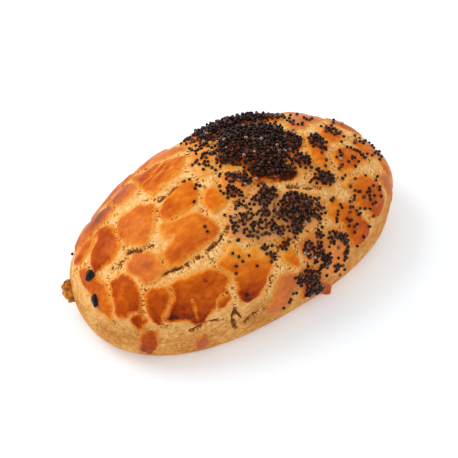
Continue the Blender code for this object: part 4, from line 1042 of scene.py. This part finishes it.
def seedTree(material):
    # a kidney-shaped seed on each point, turned and tilted at random
    tree = bpy.data.node_groups.new("seedsOnSkin", "GeometryNodeTree")
    face = tree.interface
    face.new_socket("Geometry", in_out="OUTPUT", socket_type="NodeSocketGeometry")
    face.new_socket("Points", in_out="INPUT", socket_type="NodeSocketGeometry")
    for name in ("Half Length", "Half Width", "Half Height", "Kidney Bend", "Size Spread", "Tilt"):
        face.new_socket(name, in_out="INPUT", socket_type="NodeSocketFloat")
    face.new_socket("Draw Seed", in_out="INPUT", socket_type="NodeSocketInt")
    given = tree.nodes.new("NodeGroupInput").outputs

    def triple(x, y, z):
        return addNode(tree, "ShaderNodeCombineXYZ", {"X": x, "Y": y, "Z": z}).outputs[0]

    facets = {"Segments": 8, "Rings": 5, "Radius": 1.0}
    ball = addNode(tree, "GeometryNodeMeshUVSphere", facets).outputs["Mesh"]
    place = addNode(tree, "ShaderNodeSeparateXYZ", {0: addNode(tree, "GeometryNodeInputPosition").outputs[0]})
    px, py, pz = (place.outputs[axis] for axis in "XYZ")
    bent = calc(tree, "MULTIPLY_ADD", calc(tree, "MULTIPLY", px, px), given["Kidney Bend"], py)
    size = triple(given["Half Length"], given["Half Width"], given["Half Height"])
    shape = triple(px, bent, pz)
    shape = addNode(tree, "ShaderNodeVectorMath", {0: shape, 1: size}, operation="MULTIPLY").outputs[0]
    seed = addNode(tree, "GeometryNodeSetPosition", {"Geometry": ball, "Position": shape}).outputs[0]

    outward = addNode(tree, "GeometryNodeInputNamedAttribute", {"Name": "outward"}, data_type="FLOAT_VECTOR")
    inputs = {"Vector": outward.outputs["Attribute"]}
    facing = addNode(tree, "FunctionNodeAlignRotationToVector", inputs, axis="Z").outputs[0]
    tiltDown = calc(tree, "MULTIPLY", given["Tilt"], -1.0)
    turns = {
        "Min": triple(tiltDown, tiltDown, 0.0),
        "Max": triple(given["Tilt"], given["Tilt"], 2 * math.pi),
        "Seed": given["Draw Seed"],
    }
    turn = addNode(tree, "FunctionNodeRandomValue", turns, data_type="FLOAT_VECTOR").outputs["Value"]
    both = {0: facing, 1: turn}
    turned = addNode(tree, "FunctionNodeRotateRotation", both, rotation_space="LOCAL").outputs[0]

    smallest = calc(tree, "SUBTRACT", 1.0, given["Size Spread"])
    largest = calc(tree, "ADD", 1.0, given["Size Spread"])
    scale = randomNumber(tree, given["Draw Seed"], smallest, largest)
    inputs = {"Points": given["Points"], "Instance": seed, "Rotation": turned, "Scale": scale}
    laid = addNode(tree, "GeometryNodeInstanceOnPoints", inputs).outputs[0]

    store = addNode(tree, "GeometryNodeStoreNamedAttribute", {"Geometry": laid, "Name": "ownTone"})
    store.data_type, store.domain = "FLOAT", "INSTANCE"
    tree.links.new(randomNumber(tree, given["Draw Seed"]), store.inputs["Value"])
    real = addNode(tree, "GeometryNodeRealizeInstances", {"Geometry": store.outputs[0]}).outputs[0]
    smooth = addNode(tree, "GeometryNodeSetShadeSmooth", {"Geometry": real}).outputs[0]
    finished = addNode(tree, "GeometryNodeSetMaterial", {"Geometry": smooth, "Material": material}).outputs[0]
    tree.links.new(finished, tree.nodes.new("NodeGroupOutput").inputs[0])
    return tree


def runTree(name, mesh, tree, values):
    # puts the tree on the points, takes the mesh that it makes, and leaves no modifier behind
    piece = newObject(name, mesh)
    modifier = piece.modifiers.new(name, "NODES")
    modifier.node_group = tree
    for item in tree.interface.items_tree:
        if item.in_out == "INPUT" and item.name in values:
            modifier[item.identifier] = values[item.name]
    bpy.context.view_layer.update()
    made = bpy.data.meshes.new_from_object(piece.evaluated_get(bpy.context.evaluated_depsgraph_get()))
    piece.modifiers.clear()
    piece.data = made
    bpy.data.meshes.remove(mesh)
    made.name = name
    return piece


poppy = {
    "colours": (
        (0.0, (0.004, 0.001, 0.001)),
        (0.4, (0.014, 0.004, 0.002)),
        (0.7, (0.040, 0.012, 0.005)),
        (0.97, (0.110, 0.040, 0.018)),
        # a few pale pinkish seeds, which stand partly for painted glints
        (1.0, (0.50, 0.30, 0.22)),
    ),
    "roughness": 0.34,
    "shine": 0.22,
    "bump": (0.22, 1.0, 0.06),
}


def poppyTone(tree):
    own = calc(tree, "SUBTRACT", attribute(tree, "ownTone"), 0.1)
    return calc(tree, "MULTIPLY_ADD", speckle(tree, 0.5), 0.2, own)


def makePoppySeeds():
    tree = seedTree(grainyMaterial("poppySeed", poppy, poppyTone))
    values = {
        "Half Length": seeds["halfLength"] * mm,
        "Half Width": seeds["halfWidth"] * mm,
        "Half Height": seeds["halfHeight"] * mm,
        "Kidney Bend": seeds["kidneyBend"],
        "Size Spread": seeds["sizeSpread"],
        "Tilt": math.radians(seeds["tilt"]),
        "Draw Seed": seeds["drawSeed"],
    }
    return runTree("poppySeeds", seedPoints(), tree, values)


# Two larger black seeds at the bare end: place on the map, half length, half width, half height, turn.
nigella = {
    "places": ((-52.1, 1.5, 1.75, 1.25, 0.68, -4), (-56.3, -5.0, 1.7, 1.0, 0.6, 28)),
    "corners": 0.34,
    "craggy": (0.3, 1.7),  # how far its form strays, and how finely
    "taper": 0.12,
    "sink": 0.45,
    "levels": 3,
    "colours": ((0.3, (0.003, 0.003, 0.004)), (0.8, (0.014, 0.013, 0.014))),
    "roughness": 0.42,
    "shine": 0.2,
    "bump": (0.5, 3.0, 0.2),
}


def makeNigella():
    mesh = bpy.data.meshes.new("nigellaSeeds")
    both = bmesh.new()
    strays, fineness = nigella["craggy"]
    for number, (x, y, halfLength, halfWidth, halfHeight, turn) in enumerate(nigella["places"]):
        azimuth = np.array([math.atan2(y, x)])
        way = wayAt(azimuth, np.array([math.hypot(x, y)]))
        edge = plateField(np.array([x]), np.array([y]))[0]
        outward = bodyOutward(azimuth, way)[0]
        lift = relief(np.array([x]), np.array([y]), way, edge)[0] + halfHeight * (1 - nigella["sink"])
        middle = bodyPoint(azimuth, way)[0] + outward * lift
        up = Vector(outward)
        heading = Vector((math.cos(math.radians(turn)), math.sin(math.radians(turn)), 0))
        side = up.cross(heading).normalized()
        lay = Matrix((side.cross(up), side, up)).transposed()
        made = bmesh.ops.create_icosphere(both, subdivisions=nigella["levels"], radius=1.0)
        for vertex in made["verts"]:
            d = vertex.co.copy()
            wedge = 1 + nigella["corners"] * math.cos(3 * math.atan2(d.y, d.z) + number)
            craggy = 1 + strays * noise.noise(d * fineness + Vector((number * 7.0, 0, 0)))
            place = Vector((d.x * (1 - nigella["taper"] * d.x), d.y * wedge, d.z * wedge))
            place *= Vector((halfLength, halfWidth, halfHeight))
            vertex.co = Vector(toScene(middle + np.array(lay @ (place * craggy))))
    both.to_mesh(mesh)
    both.free()
    mesh.shade_smooth()
    return newObject("nigellaSeeds", mesh)


def nigellaTone(tree):
    return speckle(tree, 0.8, 3.0)


studio = {
    "floorSide": 4.0,
    "floorColour": (0.81, 0.87, 0.915, 1.0),
    "world": 0.8,
    "floorRoughness": 0.9,
    "floorGlow": 0.25,
    "keyPlace": (-0.42, 0.62, 0.85),
    "keySide": 0.7,
    "keyPower": 5.0,
    "keyTarget": (0, 0, 0.015),
    "azimuth": -37.0,
    "elevation": 46.0,
    "distance": 0.520,
    "target": (-4.1, -2.6, 15.0),  # millimetres from the crown's foot
    "lens": 143.6,
    "sensor": 36.0,
}


def aim(thing, target):
    thing.rotation_euler = (Vector(target) - thing.location).to_track_quat("-Z", "Y").to_euler()


def makeStudio():
    scene = bpy.context.scene
    half = studio["floorSide"] / 2
    mesh = bpy.data.meshes.new("floor")
    corners = [(-half, -half, 0), (half, -half, 0), (half, half, 0), (-half, half, 0)]
    mesh.from_pydata(corners, [], [(0, 1, 2, 3)])
    floor = newObject("floor", mesh)
    material, _, shader = newMaterial("floorCard")
    shader.inputs["Base Color"].default_value = studio["floorColour"]
    shader.inputs["Roughness"].default_value = studio["floorRoughness"]
    shader.inputs["Emission Color"].default_value = (1.0, 1.0, 1.0, 1.0)
    shader.inputs["Emission Strength"].default_value = studio["floorGlow"]
    mesh.materials.append(material)

    world = bpy.data.worlds.new("studio")
    world.use_nodes = True
    world.node_tree.nodes["Background"].inputs["Color"].default_value = (1, 1, 1, 1)
    world.node_tree.nodes["Background"].inputs["Strength"].default_value = studio["world"]
    scene.world = world

    data = bpy.data.lights.new("key", "AREA")
    data.shape, data.size, data.energy = "DISK", studio["keySide"], studio["keyPower"]
    key = newObject("key", data)
    key.location = studio["keyPlace"]
    aim(key, studio["keyTarget"])

    azimuth, elevation = math.radians(studio["azimuth"]), math.radians(studio["elevation"])
    target = Vector(toScene(np.array(studio["target"])))
    level = math.cos(elevation)
    back = Vector((math.sin(azimuth) * level, -math.cos(azimuth) * level, math.sin(elevation)))
    camera = newObject("camera", bpy.data.cameras.new("camera"))
    camera.data.lens, camera.data.sensor_width = studio["lens"], studio["sensor"]
    camera.location = target + back * studio["distance"]
    aim(camera, target)
    scene.camera = camera
    scene.view_settings.view_transform = "Standard"


def finishPiece(piece, material):
    if material is not None:
        piece.data.materials.clear()
        piece.data.materials.append(material)
    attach(piece, "root")
    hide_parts("bun")
    print(piece.name, "has", sum(len(face.vertices) - 2 for face in piece.data.polygons), "triangles")


makeStudio()
print("studio is set")
finishPiece(makeSkin(), crustMaterial())
finishPiece(makeOoze(), grainyMaterial("bakedOoze", ooze, oozeTone))
finishPiece(makePoppySeeds(), None)
finishPiece(makeNigella(), grainyMaterial("nigellaSeed", nigella, nigellaTone))
